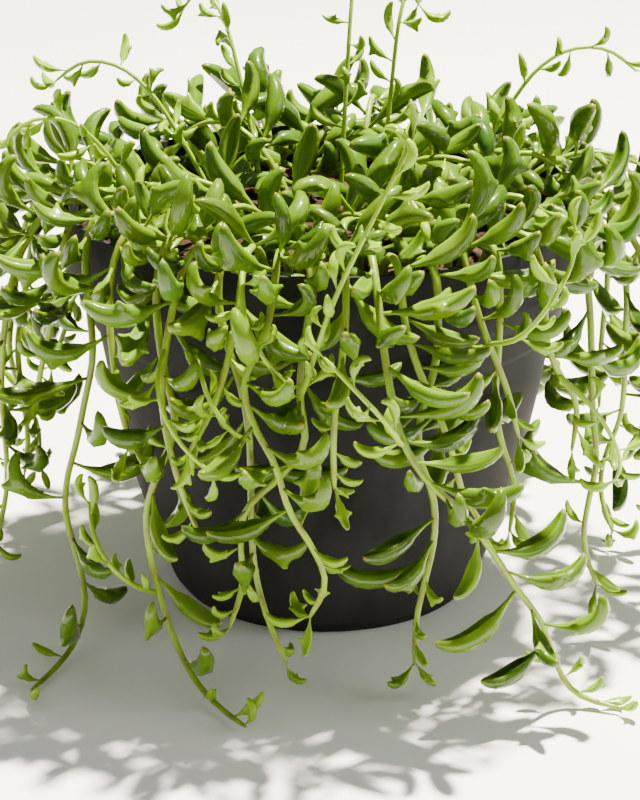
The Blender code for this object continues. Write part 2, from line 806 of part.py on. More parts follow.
def leaf_mesh(leaf):
    """A leaf as a three-sided loft, with a corner drawn out where it has a fin."""
    places, directions, normals = spine(leaf)
    across = leaf.out.cross(leaf.up).normalized()
    fins = {fin[0]: fin for fin in leaf.fins}
    rings = YOUNG_RINGS if leaf.young else FINNED_RINGS if fins else PLAIN_RINGS
    shape = bmesh.new()
    loops = []
    for at in rings:
        width = leaf_width(leaf, at / SPINE_STEPS)
        outer = places[at] - normals[at] * width
        inner = places[at] + normals[at] * width * FACE_RISE
        left = inner + across * width * FACE_SPREAD
        right = inner - across * width * FACE_SPREAD
        corners = {-1: outer, 1: left, 2: right}
        if at == FIN_RING:
            for edge, fin in fins.items():
                corners[edge] = fin_tip(leaf, places, directions, normals, fin)
        loops.append([shape.verts.new(corner) for corner in corners.values()])
    for below, above in zip(loops, loops[1:]):
        for i in range(3):
            k = (i + 1) % 3
            shape.faces.new((below[i], below[k], above[k]))
            shape.faces.new((below[i], above[k], above[i]))
    tip = shape.verts.new(places[-1])
    for i in range(3):
        shape.faces.new((loops[-1][i], loops[-1][(i + 1) % 3], tip))
    shape.faces.new(loops[0][::-1])
    bmesh.ops.recalc_face_normals(shape, faces=shape.faces)
    mesh = bpy.data.meshes.new("leaf")
    shape.to_mesh(mesh)
    shape.free()
    return mesh


def tube_mesh(stem):
    """The stem as a four-sided tube with welded caps."""
    curve = bpy.data.curves.new("tube", "CURVE")
    curve.dimensions = "3D"
    curve.bevel_depth = 1.0
    curve.bevel_resolution = 0
    curve.use_fill_caps = True
    line = curve.splines.new("POLY")
    line.points.add(len(stem.points) - 1)
    last = len(stem.points) - 1
    for i, (spot, place) in enumerate(zip(line.points, stem.points)):
        spot.co = (*place, 1.0)
        spot.radius = stem.radii[0] + (stem.radii[1] - stem.radii[0]) * i / last
    holder = bpy.data.objects.new("tube", curve)
    bpy.context.scene.collection.objects.link(holder)
    graph = bpy.context.evaluated_depsgraph_get()
    mesh = bpy.data.meshes.new_from_object(holder.evaluated_get(graph))
    bpy.data.objects.remove(holder)
    bpy.data.curves.remove(curve)
    shape = bmesh.new()
    shape.from_mesh(mesh)
    bmesh.ops.remove_doubles(shape, verts=shape.verts, dist=0.00001)
    bmesh.ops.triangulate(shape, faces=shape.faces)
    bmesh.ops.recalc_face_normals(shape, faces=shape.faces)
    shape.to_mesh(mesh)
    shape.free()
    return mesh


def keep_main_body(mesh):
    """Drops every loose scrap, so that the largest body is left."""
    shape = bmesh.new()
    shape.from_mesh(mesh)
    bmesh.ops.remove_doubles(shape, verts=shape.verts, dist=WELD)
    bmesh.ops.triangulate(shape, faces=shape.faces)
    unseen = set(shape.faces)
    bodies = []
    while unseen:
        stack = [unseen.pop()]
        body = list(stack)
        while stack:
            for edge in stack.pop().edges:
                for face in edge.link_faces:
                    if face in unseen:
                        unseen.remove(face)
                        body.append(face)
                        stack.append(face)
        bodies.append(body)
    bodies.sort(key=len)
    scraps = [face for body in bodies[:-1] for face in body]
    bmesh.ops.delete(shape, geom=scraps, context="FACES")
    bmesh.ops.dissolve_limit(
        shape, angle_limit=FLAT_ANGLE, verts=shape.verts, edges=shape.edges
    )
    bmesh.ops.triangulate(shape, faces=shape.faces)
    shape.to_mesh(mesh)
    shape.free()
    return len(bodies) - 1


def make_leafy_stem(stem, branches, collection, finish):
    """One solid: the stem, its side shoots and all their leaves, joined by one union."""
    made = add_object(stem.name, tube_mesh(stem), collection, finish)
    pieces = bpy.data.collections.new(f"pieces_{stem.name}")
    bpy.context.scene.collection.children.link(pieces)
    for branch in branches:
        add_object("branch", tube_mesh(branch), pieces)
    for leaf in stem.leaves + [leaf for branch in branches for leaf in branch.leaves]:
        add_object("leaf", leaf_mesh(leaf), pieces)
    union = made.modifiers.new("Fuse", "BOOLEAN")
    union.operation = "UNION"
    union.operand_type = "COLLECTION"
    union.collection = pieces
    union.solver = "MANIFOLD"
    slim = made.modifiers.new("Slim", "DECIMATE")
    slim.ratio = KEPT_SHARE
    bpy.context.view_layer.update()
    apply_modifiers(made)
    for piece in list(pieces.objects):
        mesh = piece.data
        bpy.data.objects.remove(piece)
        bpy.data.meshes.remove(mesh)
    bpy.data.collections.remove(pieces)
    scraps = keep_main_body(made.data)
    if scraps:
        print(f"{stem.name}: {scraps} loose scraps dropped")
    made.data.set_sharp_from_angle(angle=math.radians(50))
    return made


def main():
    for old in list(bpy.data.objects):
        bpy.data.objects.remove(old)
    parts = bpy.data.collections.new("potted_string_of_dolphins")
    cutters = bpy.data.collections.new("cutters")
    bpy.context.scene.collection.children.link(parts)
    bpy.context.scene.collection.children.link(cutters)
    cutters.hide_render = True

    space = Space()
    stems = lay_out_stems(space)
    grow_leaves(space, stems)

    make_pot(parts, cutters)
    make_soil(parts, cutters, stems)
    older = material("green_stem_and_leaf", (0.145, 0.270, 0.030), 0.35)
    young = material("young_green_shoot", (0.330, 0.500, 0.080), 0.35)
    leaves = 0
    for stem in stems:
        if stem.parent:
            continue
        branches = [s for s in stems if s.parent and s.owner == stem.owner]
        finish = young if "shoot" in stem.name else older
        make_leafy_stem(stem, branches, parts, finish)
        leaves += len(stem.leaves) + sum(len(branch.leaves) for branch in branches)
    total = 0
    for made in parts.objects:
        made.data.calc_loop_triangles()
        total += len(made.data.loop_triangles)
    print(f"{len(parts.objects)} nodes, {leaves} leaves, {total} triangles")


main()
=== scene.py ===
import json
import math
import random
from dataclasses import dataclass, field
from functools import partial

import bpy
import numpy as np
from mathutils import Matrix, Vector, noise

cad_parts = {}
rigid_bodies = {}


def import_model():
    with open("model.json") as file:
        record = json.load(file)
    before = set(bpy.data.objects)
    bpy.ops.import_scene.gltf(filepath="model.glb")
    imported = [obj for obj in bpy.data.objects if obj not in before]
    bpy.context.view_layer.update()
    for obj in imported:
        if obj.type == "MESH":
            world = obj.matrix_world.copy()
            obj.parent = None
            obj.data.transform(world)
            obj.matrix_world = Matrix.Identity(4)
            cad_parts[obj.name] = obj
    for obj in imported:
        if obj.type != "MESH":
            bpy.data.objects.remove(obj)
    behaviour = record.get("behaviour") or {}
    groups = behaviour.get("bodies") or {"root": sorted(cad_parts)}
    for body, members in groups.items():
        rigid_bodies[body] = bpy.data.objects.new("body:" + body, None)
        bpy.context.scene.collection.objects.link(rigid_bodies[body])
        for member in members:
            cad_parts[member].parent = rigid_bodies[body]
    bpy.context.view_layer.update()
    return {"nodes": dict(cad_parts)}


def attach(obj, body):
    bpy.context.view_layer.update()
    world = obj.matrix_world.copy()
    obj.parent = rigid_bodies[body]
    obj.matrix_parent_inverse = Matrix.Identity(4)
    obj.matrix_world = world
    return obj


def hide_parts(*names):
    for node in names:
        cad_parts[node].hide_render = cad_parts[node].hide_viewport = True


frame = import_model()
MM = 0.001
UP = Vector((0.0, 0.0, 1.0))
print(len(frame["nodes"]), "solids loaded")

# %% [markdown]
# ## Camera, floor and light
# The photo looks down on the plant by about 21 degrees from some 80 cm away, with a long lens, so the
# pot's ellipse is shallow. A plain pale floor takes the shadows. The key light is a small one high
# above, a little behind the plant and to the right, which gives the leaves their sharp glints; two
# large, weak ones fill in the front and the side.
# %% Camera
AIM = Vector((-1.6 * MM, 0.0, 54.7 * MM))
CAMERA_DISTANCE = 811 * MM
CAMERA_ELEVATION = math.radians(21.19)
LENS = 123.5
SENSOR_WIDTH = 36.0


def new_object(name, data):
    """An object with this mesh, curve, light or camera, in the scene."""
    made = bpy.data.objects.new(name, data)
    bpy.context.scene.collection.objects.link(made)
    return made


def add_camera():
    """A camera on the front side, looking down at the plant."""
    data = bpy.data.cameras.new("camera")
    data.lens = LENS
    data.sensor_width = SENSOR_WIDTH
    camera = new_object("camera", data)
    back = Vector((0.0, -math.cos(CAMERA_ELEVATION), math.sin(CAMERA_ELEVATION)))
    camera.location = AIM + back * CAMERA_DISTANCE
    camera.rotation_euler = (-back).to_track_quat("-Z", "Y").to_euler()
    bpy.context.scene.camera = camera
    return camera


print("camera at", add_camera().location)


# %% [markdown]
# Every colour in this lesson is an sRGB hex value, as a picker shows it, and one function turns it to
# the linear numbers that the shader wants. Another adds one node with its settings and links, and the
# last two lay colours over each other through masks and link a finished skin to the shader.
# %% Helpers for materials
def linear(hex_colour):
    """An sRGB hex colour as linear red, green, blue and full alpha."""
    channels = [int(hex_colour[i : i + 2], 16) / 255 for i in (1, 3, 5)]
    return [c / 12.92 if c <= 0.04045 else ((c + 0.055) / 1.055) ** 2.4 for c in channels] + [1.0]


def add_node(tree, kind, settings=None, inputs=None):
    """One node, with its settings, and with its sockets either set or linked."""
    node = tree.nodes.new(kind)
    for name, value in (settings or {}).items():
        setattr(node, name, value)
    for name, value in (inputs or {}).items():
        if isinstance(value, bpy.types.NodeSocket):
            tree.links.new(value, node.inputs[name])
        else:
            node.inputs[name].default_value = value
    return node


def new_material(name, **shader_inputs):
    """A Principled material with constants set on the shader's own sockets."""
    made = bpy.data.materials.new(name)
    made.use_nodes = True
    shader = made.node_tree.nodes["Principled BSDF"]
    for socket, value in shader_inputs.items():
        shader.inputs[socket.replace("_", " ")].default_value = value
    return made, made.node_tree, shader


def noise_value(tree, size, detail, stretch=(1.0, 1.0, 1.0)):
    """Noise on Object coordinates, with its grain size in metres."""
    place = add_node(tree, "ShaderNodeTexCoord")
    where = {"Vector": place.outputs["Object"], "Scale": stretch}
    scaled = add_node(tree, "ShaderNodeMapping", inputs=where)
    grain = {"Vector": scaled.outputs[0], "Scale": 1.0 / size, "Detail": detail}
    return add_node(tree, "ShaderNodeTexNoise", inputs=grain).outputs["Fac"]


def remap(tree, value, low, high, start, end):
    """The value's range from low to high, turned into start to end and clamped there."""
    ranges = {"Value": value, "From Min": low, "From Max": high, "To Min": start, "To Max": end}
    return add_node(tree, "ShaderNodeMapRange", inputs=ranges).outputs[0]


def mix_colours(tree, share, first, second):
    """Two colours (hex or sockets) mixed by the share in a socket."""
    inputs = {0: share}
    for index, colour in ((6, first), (7, second)):
        inputs[index] = linear(colour) if isinstance(colour, str) else colour
    return add_node(tree, "ShaderNodeMix", {"data_type": "RGBA"}, inputs).outputs[2]


def attribute(tree, name):
    """The value of a vertex attribute of the piece."""
    return add_node(tree, "ShaderNodeAttribute", {"attribute_name": name}).outputs["Fac"]


def paint_layers(tree, ground, *layers):
    """Colours over a ground: each layer has a colour, a mask, the mask's range and the most it covers."""
    colour = ground
    for top, mask, low, high, most in layers:
        colour = mix_colours(tree, remap(tree, mask, low, high, 0.0, most), colour, top)
    return colour


def link_finish(tree, shader, colour, rough, height, depth, strength=1.0):
    """Links the colour, the roughness, and small relief of the given depth in metres."""
    relief = {"Height": height, "Distance": depth, "Strength": strength}
    bump = add_node(tree, "ShaderNodeBump", inputs=relief)
    for socket, value in (("Base Color", colour), ("Roughness", rough), ("Normal", bump.outputs[0])):
        tree.links.new(value, shader.inputs[socket])


print("white is", linear("#ffffff"))


# %% [markdown]
# The floor is one big plane with a matt off-white paint. It only has to catch shadows, so its paint is
# the one plain material here.
# %% Floor and lights
FLOOR_SIZE = 6.0
FLOOR_DROP = 0.1 * MM
KEY = {"spot": (0.27, 0.30, 1.34), "size": 0.06, "power": 180.0, "colour": "#fff4e2"}
FILL = {"spot": (-0.75, -1.25, 0.95), "size": 1.2, "power": 2.5, "colour": "#fbf8f0"}
SIDE = {"spot": (1.25, -0.35, 0.70), "size": 0.7, "power": 7.0, "colour": "#ffffff"}
SKY_COLOUR = "#fbf9f4"
SKY_STRENGTH = 0.40


def add_floor():
    """The surface that the pot stands on."""
    bpy.ops.object.select_all(action="DESELECT")
    bpy.ops.mesh.primitive_plane_add(size=FLOOR_SIZE, location=(0.0, 0.0, -FLOOR_DROP))
    floor = bpy.context.object
    floor.name = "floor"
    paint, _, _ = new_material("matt_paint", Base_Color=linear("#f6f5f2"), Roughness=0.75)
    floor.data.materials.append(paint)
    return floor


def add_light(name, spot, size, power, colour):
    """A square area light that faces the middle of the plant."""
    data = bpy.data.lights.new(name, "AREA")
    data.size = size
    data.energy = power
    data.color = linear(colour)[:3]
    light = new_object(name, data)
    light.location = spot
    light.rotation_euler = (AIM - light.location).to_track_quat("-Z", "Y").to_euler()
    return light


def add_sky():
    """An even, pale surrounding."""
    world = bpy.data.worlds.new("studio")
    world.use_nodes = True
    background = world.node_tree.nodes["Background"]
    background.inputs["Color"].default_value = linear(SKY_COLOUR)
    background.inputs["Strength"].default_value = SKY_STRENGTH
    bpy.context.scene.world = world


add_floor()
add_sky()
for label, light in (("key", KEY), ("fill", FILL), ("side", SIDE)):
    add_light(label, **light)
print("floor, sky and three lights")

# %% [markdown]
# ## The pot
# A nursery pot is blown or moulded from black polypropylene, about a millimetre thick: a tall plain
# collar, a step under it and a wall that tapers to the base. The wall could be a turned profile with a
# thickness added, and here the closed profile is drawn once and spun, so that inside and outside keep
# their own corners. The corners are then bevelled, because moulded plastic has no sharp ones.
# %% Sizes of the pot
RIM_RADIUS = 75.0 * MM
POT_HEIGHT = 118.0 * MM
WALL = 1.2 * MM
POT_PROFILE = [
    (RIM_RADIUS, POT_HEIGHT),
    (RIM_RADIUS, 0.1010),
    (0.0735, 0.0965),
    (0.0704, 0.0930),
    (0.0683, 0.0845),
    (0.0664, 0.0820),
    (0.0629, 0.0620),
    (0.0578, 0.0380),
    (0.0510, 0.0160),
    (0.0462, 0.0035),
    (0.0435, 0.0),
    (0.0, 0.0),
]
POT_STEPS = 144
POT_BEVEL = 0.5 * MM
BEVEL_STEPS = 2
SPIN_MERGE = 0.01 * MM
SHARP_CORNER = math.radians(16)
SMOOTH_BELOW = math.radians(40)
DRAIN_COUNT = 5
DRAIN_RADIUS = 4.5 * MM
DRAIN_CIRCLE = 30.0 * MM
DRAIN_STEPS = 24
DRAIN_CUT = 6 * WALL


def polar(radius, azimuth, height):
    """The point at this distance from the pot's axis, in this direction and at this height."""
    return Vector((radius * math.cos(azimuth), radius * math.sin(azimuth), height))


def inset_profile(profile, distance):
    """The profile moved towards its inner side by the same distance all along."""
    moved = []
    for i, (radius, height) in enumerate(profile):
        normals = []
        for a, b in ((i - 1, i), (i, i + 1)):
            if 0 <= a and b < len(profile):
                run = Vector(profile[b]) - Vector(profile[a])
                normals.append(Vector((run.y, -run.x)).normalized())
        mean = sum(normals, Vector((0.0, 0.0))).normalized()
        reach = distance / mean.dot(normals[0])
        moved.append((max(0.0, radius + mean.x * reach), height + mean.y * reach))
    return moved


print(len(POT_PROFILE), "corners in the pot's outline")


# %% [markdown]
# Spin turns the chain of edges round Z in many small steps. The last step meets the first one, so the
# doubles there are merged, and after that the normals are made to point outwards.
# %% Turn the pot
def deselect_everything():
    """Leaves edit mode and deselects all, because operators act on what is selected."""
    if bpy.context.object and bpy.context.object.mode == "EDIT":
        bpy.ops.object.mode_set(mode="OBJECT")
    bpy.ops.object.select_all(action="DESELECT")


def select_only(piece):
    """Makes the piece the only selected one, and the active one."""
    deselect_everything()
    piece.select_set(True)
    bpy.context.view_layer.objects.active = piece


def edit(piece):
    """Opens the piece in edit mode, with all of it selected and nothing else."""
    select_only(piece)
    bpy.ops.object.mode_set(mode="EDIT")
    bpy.ops.mesh.select_all(action="SELECT")


def close_mesh(merge=0.0):
    """Merges doubles within this distance, turns the faces outwards and leaves edit mode."""
    bpy.ops.mesh.select_all(action="SELECT")
    if merge:
        bpy.ops.mesh.remove_doubles(threshold=merge)
    bpy.ops.mesh.normals_make_consistent(inside=False)
    bpy.ops.object.mode_set(mode="OBJECT")


def outline_object(name, corners):
    """A chain of edges at +X, drawn corner by corner."""
    mesh = bpy.data.meshes.new(name)
    points = [(radius, 0.0, height) for radius, height in corners]
    mesh.from_pydata(points, [(i, i + 1) for i in range(len(points) - 1)], [])
    return new_object(name, mesh)


def turn_round_z(piece, steps):
    """Spins the outline once round Z and closes the seam."""
    edit(piece)
    bpy.ops.mesh.spin(steps=steps, angle=2 * math.pi, center=(0, 0, 0), axis=(0, 0, 1))
    close_mesh(SPIN_MERGE)


def apply_all(piece):
    """Applies every modifier of the piece, in order."""
    select_only(piece)
    for modifier in list(piece.modifiers):
        bpy.ops.object.modifier_apply(modifier=modifier.name)


def make_pot():
    """The shell, its drain holes and its soft corners."""
    inside = inset_profile(POT_PROFILE, WALL)
    inside[0] = (inside[0][0], POT_HEIGHT)
    pot = outline_object("nursery_pot", POT_PROFILE[::-1] + inside)
    turn_round_z(pot, POT_STEPS)
    for number in range(DRAIN_COUNT):
        azimuth = 2 * math.pi * (number + 0.5) / DRAIN_COUNT
        deselect_everything()
        bpy.ops.mesh.primitive_cylinder_add(
            vertices=DRAIN_STEPS,
            radius=DRAIN_RADIUS,
            depth=DRAIN_CUT,
            location=polar(DRAIN_CIRCLE, azimuth, WALL / 2),
        )
        cutter = bpy.context.object
        cut = pot.modifiers.new("Drain hole", "BOOLEAN")
        cut.operation = "DIFFERENCE"
        cut.object = cutter
        apply_all(pot)
        bpy.data.objects.remove(cutter)
    rounding = pot.modifiers.new("Soft corners", "BEVEL")
    rounding.width = POT_BEVEL
    rounding.segments = BEVEL_STEPS
    rounding.limit_method = "ANGLE"
    rounding.angle_limit = SHARP_CORNER
    apply_all(pot)
    bpy.ops.object.shade_smooth_by_angle(angle=SMOOTH_BELOW)
    return pot


pot = make_pot()
print("pot:", len(pot.data.polygons), "faces")


# %% [markdown]
# Black polypropylene isn't quite black: it is a dark neutral grey with a satin skin. The skin picks up
# a fine haze of dust, more of it low on the wall, and pale scuffs that run round it in faint rings.
# %% Black moulded polypropylene
def black_polypropylene():
    """Satin moulded plastic: dark grey, dusty low down and lightly scuffed."""
    made, tree, shader = new_material("black_polypropylene", IOR=1.49, Specular_IOR_Level=0.04)
    haze = noise_value(tree, 14 * MM, 5.0, (1.0, 1.0, 0.45))
    scuffs = noise_value(tree, 1.1 * MM, 3.0, (1.0, 1.0, 7.0))
    place = add_node(tree, "ShaderNodeTexCoord")
    height = add_node(tree, "ShaderNodeSeparateXYZ", inputs={"Vector": place.outputs["Object"]})
    colour = paint_layers(
        tree,
        "#1e1f20",
        ("#2d2e30", haze, 0.35, 0.75, 1.0),
        ("#33322f", height.outputs["Z"], 30 * MM, 0.0, 0.5),
        ("#5e5e60", scuffs, 0.66, 0.80, 0.30),
    )
    link_finish(tree, shader, colour, remap(tree, haze, 0.3, 0.7, 0.60, 0.76), scuffs, 0.02 * MM, 0.5)
    return made


pot.data.materials.append(black_polypropylene())
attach(pot, "root")
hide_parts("pot")
print("pot finished")

# %% [markdown]
# ## The soil
# The mix is coir and composted bark: a domed, crumbly top with chips and hairy fibres in it. The body
# is turned like the pot, with close rings on its top, and its points are then moved by noise. Only the
# top shows, so nothing is spent on the sides.
# %% Turn the soil and roughen its top
GAP = 0.3 * MM
SOIL_EDGE = 0.1055
SOIL_DOME = 4.5 * MM
SOIL_RINGS = (0.057, 0.036, 0.014)
SOIL_BUMP = 1.8 * MM
SOIL_GRAIN = 11.0 * MM
CRUMB_GRAIN = 2.6 * MM
CRUMB_HEIGHT = 1.5 * MM
CRUMB_SHARES = (0.7, 0.3)
FINE_CRUMBS = 2.7
TOP_RINGS = 44
SOIL_STEPS = 150


def soil_height(radius):
    """The highest that the soil reaches at this distance from the middle."""
    return SOIL_EDGE + SOIL_DOME * (1 - (radius / RIM_RADIUS) ** 2)


def soil_surface(x, y):
    """Height of the crumbly top: broad lumps and fine crumbs."""
    radius = math.hypot(x, y)
    ground = Vector((x, y, soil_height(radius)))
    lump = min(1.0, max(0.0, 0.5 + 0.5 * noise.noise(ground / SOIL_GRAIN)))
    crumb = 0.5 + 0.5 * noise.noise(ground / CRUMB_GRAIN)
    fine = 0.5 + 0.5 * noise.noise(ground * FINE_CRUMBS / CRUMB_GRAIN)
    crumbs = CRUMB_SHARES[0] * crumb + CRUMB_SHARES[1] * fine
    return ground.z - SOIL_BUMP * lump - CRUMB_HEIGHT * crumbs


def make_soil():
    """The filled body, with its top moved point by point."""
    inner = inset_profile(POT_PROFILE, WALL + GAP)
    edge = inner[1][0]
    top = [(edge * i / TOP_RINGS, SOIL_EDGE) for i in range(TOP_RINGS + 1)]
    side = [corner for corner in inner[1:] if corner[1] < SOIL_EDGE]
    soil = outline_object("potting_mix", top + side)
    turn_round_z(soil, SOIL_STEPS)
    for vertex in soil.data.vertices:
        if vertex.co.z > SOIL_EDGE - GAP / 2:
            vertex.co.z = soil_surface(vertex.co.x, vertex.co.y)
    return soil


soil = make_soil()
print("soil:", len(soil.data.polygons), "faces")


# %% [markdown]
# Damp coir is a warm dark brown, with redder and paler threads. Its nearly black ground is painted
# shade, standing in for the hollows between the crumbs. It has no shine at all.
# %% Coir and bark
def coir_and_bark():
    """Damp potting mix, matt all over."""
    made, tree, shader = new_material("coir_and_bark", Specular_IOR_Level=0.2)
    patches = noise_value(tree, 5 * MM, 4.0)
    threads = noise_value(tree, 0.9 * MM, 3.0, (1.0, 2.5, 1.0))
    colour = paint_layers(
        tree,
        # The nearly black ground colour is painted shade for the hollows between the crumbs.
        "#120a05",
        ("#2f1b0e", patches, 0.35, 0.65, 1.0),
        ("#5a351d", threads, 0.50, 0.72, 0.6),
    )
    link_finish(tree, shader, colour, remap(tree, threads, 0.3, 0.7, 0.82, 0.98), threads, 0.5 * MM)
    return made


soil.data.materials.append(coir_and_bark())
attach(soil, "root")
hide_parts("soil")

# %% [markdown]
# Bark chips are flat, splintered slabs of 3 to 10 mm. One chip is a cube that is flattened, cut finer
# and shaken at its corners, and the others are copies that lie about on the mix, each turned and sized
# by a seeded draw.
# %% Bark chips
CHIP_COUNT = 340
CHIP_SIZE = (2.4 * MM, 7.5 * MM)
CHIP_SHAPE = (1.0, 0.55, 0.22)
CHIP_SHAKE = {"offset": 0.12, "uniform": 0.2, "seed": 3}
CHIP_REACH = RIM_RADIUS - 5 * MM
CHIP_LIFT = 0.08
CHIP_TILT = (("X", 0.5), ("Y", 0.4))
CHIP_WIDTH = (0.6, 1.5)
CHIP_SEED = 12


def model_chip():
    """One splintered slab, about one unit long."""
    deselect_everything()
    bpy.ops.mesh.primitive_cube_add(size=1.0)
    chip = bpy.context.object
    chip.name = "chip_pattern"
    edit(chip)
    bpy.ops.transform.resize(value=CHIP_SHAPE, center_override=(0, 0, 0))
    bpy.ops.mesh.subdivide(number_cuts=1)
    bpy.ops.transform.vertex_random(**CHIP_SHAKE)
    close_mesh()
    return chip


def join_pieces(first, others, name):
    """Joins the other pieces into the first one."""
    select_only(first)
    for piece in others:
        piece.select_set(True)
    if others:
        bpy.ops.object.join()
    first.name = name
    first.data.name = name
    return first


def scatter_chips():
    """Copies of the chip on the soil, each in its own place."""
    pattern = model_chip()
    draw = random.Random(CHIP_SEED)
    chips = []
    for _ in range(CHIP_COUNT):
        radius = CHIP_REACH * math.sqrt(draw.random())
        azimuth = draw.uniform(0, 2 * math.pi)
        spot = polar(radius, azimuth, 0.0)
        size = draw.uniform(*CHIP_SIZE)
        spot.z = soil_surface(spot.x, spot.y) + size * CHIP_LIFT
        turn = Matrix.Rotation(draw.uniform(0, 2 * math.pi), 4, "Z")
        for axis, tilt in CHIP_TILT:
            turn = turn @ Matrix.Rotation(draw.uniform(-tilt, tilt), 4, axis)
        shape = Matrix.Diagonal((size, size * draw.uniform(*CHIP_WIDTH), size, 1.0))
        mesh = pattern.data.copy()
        mesh.transform(Matrix.Translation(spot) @ turn @ shape)
        chips.append(new_object("chip", mesh))
    bpy.data.objects.remove(pattern)
    return join_pieces(chips[0], chips[1:], "bark_chips")


def bark():
    """Reddish composted bark: dry, fibrous, paler on its splintered faces."""
    made, tree, shader = new_material("composted_bark", Specular_IOR_Level=0.25)
    grain = noise_value(tree, 1.2 * MM, 4.0, (1.0, 3.0, 1.0))
    patches = noise_value(tree, 7 * MM, 1.0)
    colour = paint_layers(
        tree,
        "#190c05",
        ("#3d200f", patches, 0.35, 0.65, 1.0),
        ("#6b4023", grain, 0.5, 0.75, 0.6),
    )
    link_finish(tree, shader, colour, remap(tree, grain, 0.3, 0.7, 0.7, 0.9), grain, 0.25 * MM)
    return made


chips = scatter_chips()
chips.data.materials.append(bark())
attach(chips, "root")
print("chips:", len(chips.data.polygons), "faces")

# %% [markdown]
# ## How the plant grows
# The leafy solids were laid out by a rule: each stem and each leaf is first a row of round-ended rods,
# and it is kept only where those rods are clear of the pot, of the surface and of everything placed
# before. The same rule with the same seeded draws is followed here, so the fine leaves land exactly on
# the plain ones. First come the sizes of stems and leaves.
# %% Sizes of stems and leaves
CLEAR = 0.38 * MM
OWN_CLEAR = 0.15 * MM
HOLE_DEPTH = 6.5 * MM
TRAILER_RADIUS = (0.00115, 0.00070)
CROWN_RADIUS = (0.00105, 0.00070)
SHOOT_RADIUS = (0.00070, 0.00050)
TRAILER_STEP = 0.0132
CROWN_STEP = 0.0098
SHOOT_STEP = 0.0115
TABLE_HEIGHT = 0.0018
LEAF_LENGTH = (0.0205, 0.0305)
LEAF_HALF_WIDTH = (0.0023, 0.0032)
YOUNG_LENGTH = (0.0090, 0.0140)
YOUNG_HALF_WIDTH = (0.0011, 0.0016)
STALK_SHARE = 0.28
LEAF_STALK = (0.00042, 0.00072)
YOUNG_STALK = (0.00032, 0.00050)
FIN_HEIGHT = (0.0018, 0.0036)
SPINE_STEPS = 20
FIN_RING = 12
FIN_RADIUS = 0.0007
EARLY_BELLY = 0.85
BLUNT_ENDS = 0.75
STALK_IN_BODY = 0.4
LEAF_LEAN = (-15, 55)
TIP_LEAN = (45, 75)
LEAF_BEND = (50, 150)
CROWN_BEND = (25, 125)
EARLY_TURN = 0.50
HOLLOW_BACK = 0.25
UNEVEN = 0.55
CROWN_UNEVEN = 0.7
CROWN_ROLL = 0.9
CROWN_CURVE = (-1.3, 0.7)
CROWN_PLUMP = 1.12
OVER_RIM = 2
LEAST_UP = 0.25
FIN_SETS = (((), 0.42), ((-1,), 0.22), ((1, 2), 0.22), ((1,), 0.14))
FLIPPER_SPREAD = 0.94
FLIPPER_RISE = 0.34
FIN_LEAN = (-15, 50)
YOUNG_FIN = 0.5
SHRINK = 0.30
BRANCH_JOINTS = 100
STEM_TRIES = 60
LEAF_TRIES = 14
GOLDEN_ANGLE = math.radians(137.5)


@dataclass
class Leaf:
    """One leaf: it leaves the stem along out and bends towards up."""

    root: Vector
    out: Vector
    up: Vector
    length: float
    half_width: float
    bend: float
    fins: tuple
    young: bool


@dataclass
class Stem:
    """One stem: its joints from root to tip, its radius at both ends, and its leaves."""

    name: str
    points: list
    radii: tuple
    owner: str
    parent: bool
    leaves: list = field(default_factory=list)


print("leaves are", [size / MM for size in LEAF_LENGTH], "mm long")

# %% [markdown]
# The pot and the soil are round, so a point's distance from them is worked out in the flat plane of
# radius and height, against one closed outline.
# %% Distance from the pot
TINY = 1e-12


def pot_outline():
    """The closed outline of pot and soil in the plane of radius and height."""
    inside = RIM_RADIUS - WALL
    soil_line = [(radius, soil_height(radius)) for radius in (inside, *SOIL_RINGS, 0.0)]
    return np.array(POT_PROFILE[::-1] + [(inside, POT_HEIGHT)] + soil_line)


OUTLINE = pot_outline()


def pot_distance(points):
    """How far each point is from the pot and soil, below zero inside them."""
    flat = np.stack([np.hypot(points[:, 0], points[:, 1]), points[:, 2]], axis=1)
    start = OUTLINE
    end = np.roll(OUTLINE, -1, axis=0)
    run = end - start
    offset = flat[:, None, :] - start[None, :, :]
    share = np.clip((offset * run).sum(-1) / np.maximum((run * run).sum(-1), TINY), 0, 1)
    gap = np.linalg.norm(offset - share[..., None] * run, axis=-1).min(axis=1)
    z = flat[:, 1][:, None]
    crosses = (start[:, 1] > z) != (end[:, 1] > z)
    height = np.where(np.abs(run[:, 1]) < TINY, TINY, run[:, 1])
    where = start[:, 0] + (z - start[:, 1]) / height * run[:, 0]
    inside = (crosses & (flat[:, 0][:, None] < where)).sum(axis=1) % 2 == 1
    return np.where(inside, -gap, gap)


print("5 mm off the rim:", round(float(pot_distance(np.array([[0.08, 0.0, 0.11]]))[0]) / MM, 2), "mm")


# %% [markdown]
# Every rod that is placed goes into one table, and a new one is measured against all of them at once.
# %% The space that is taken
MOST_RODS = 32768
TEST_SPOTS = 4
ROD_MARGIN = 1.03
RODS_BY_STEM = 3
ROD_MARKS = (0, 3, 6, 9, 12, 15, 18, 20)


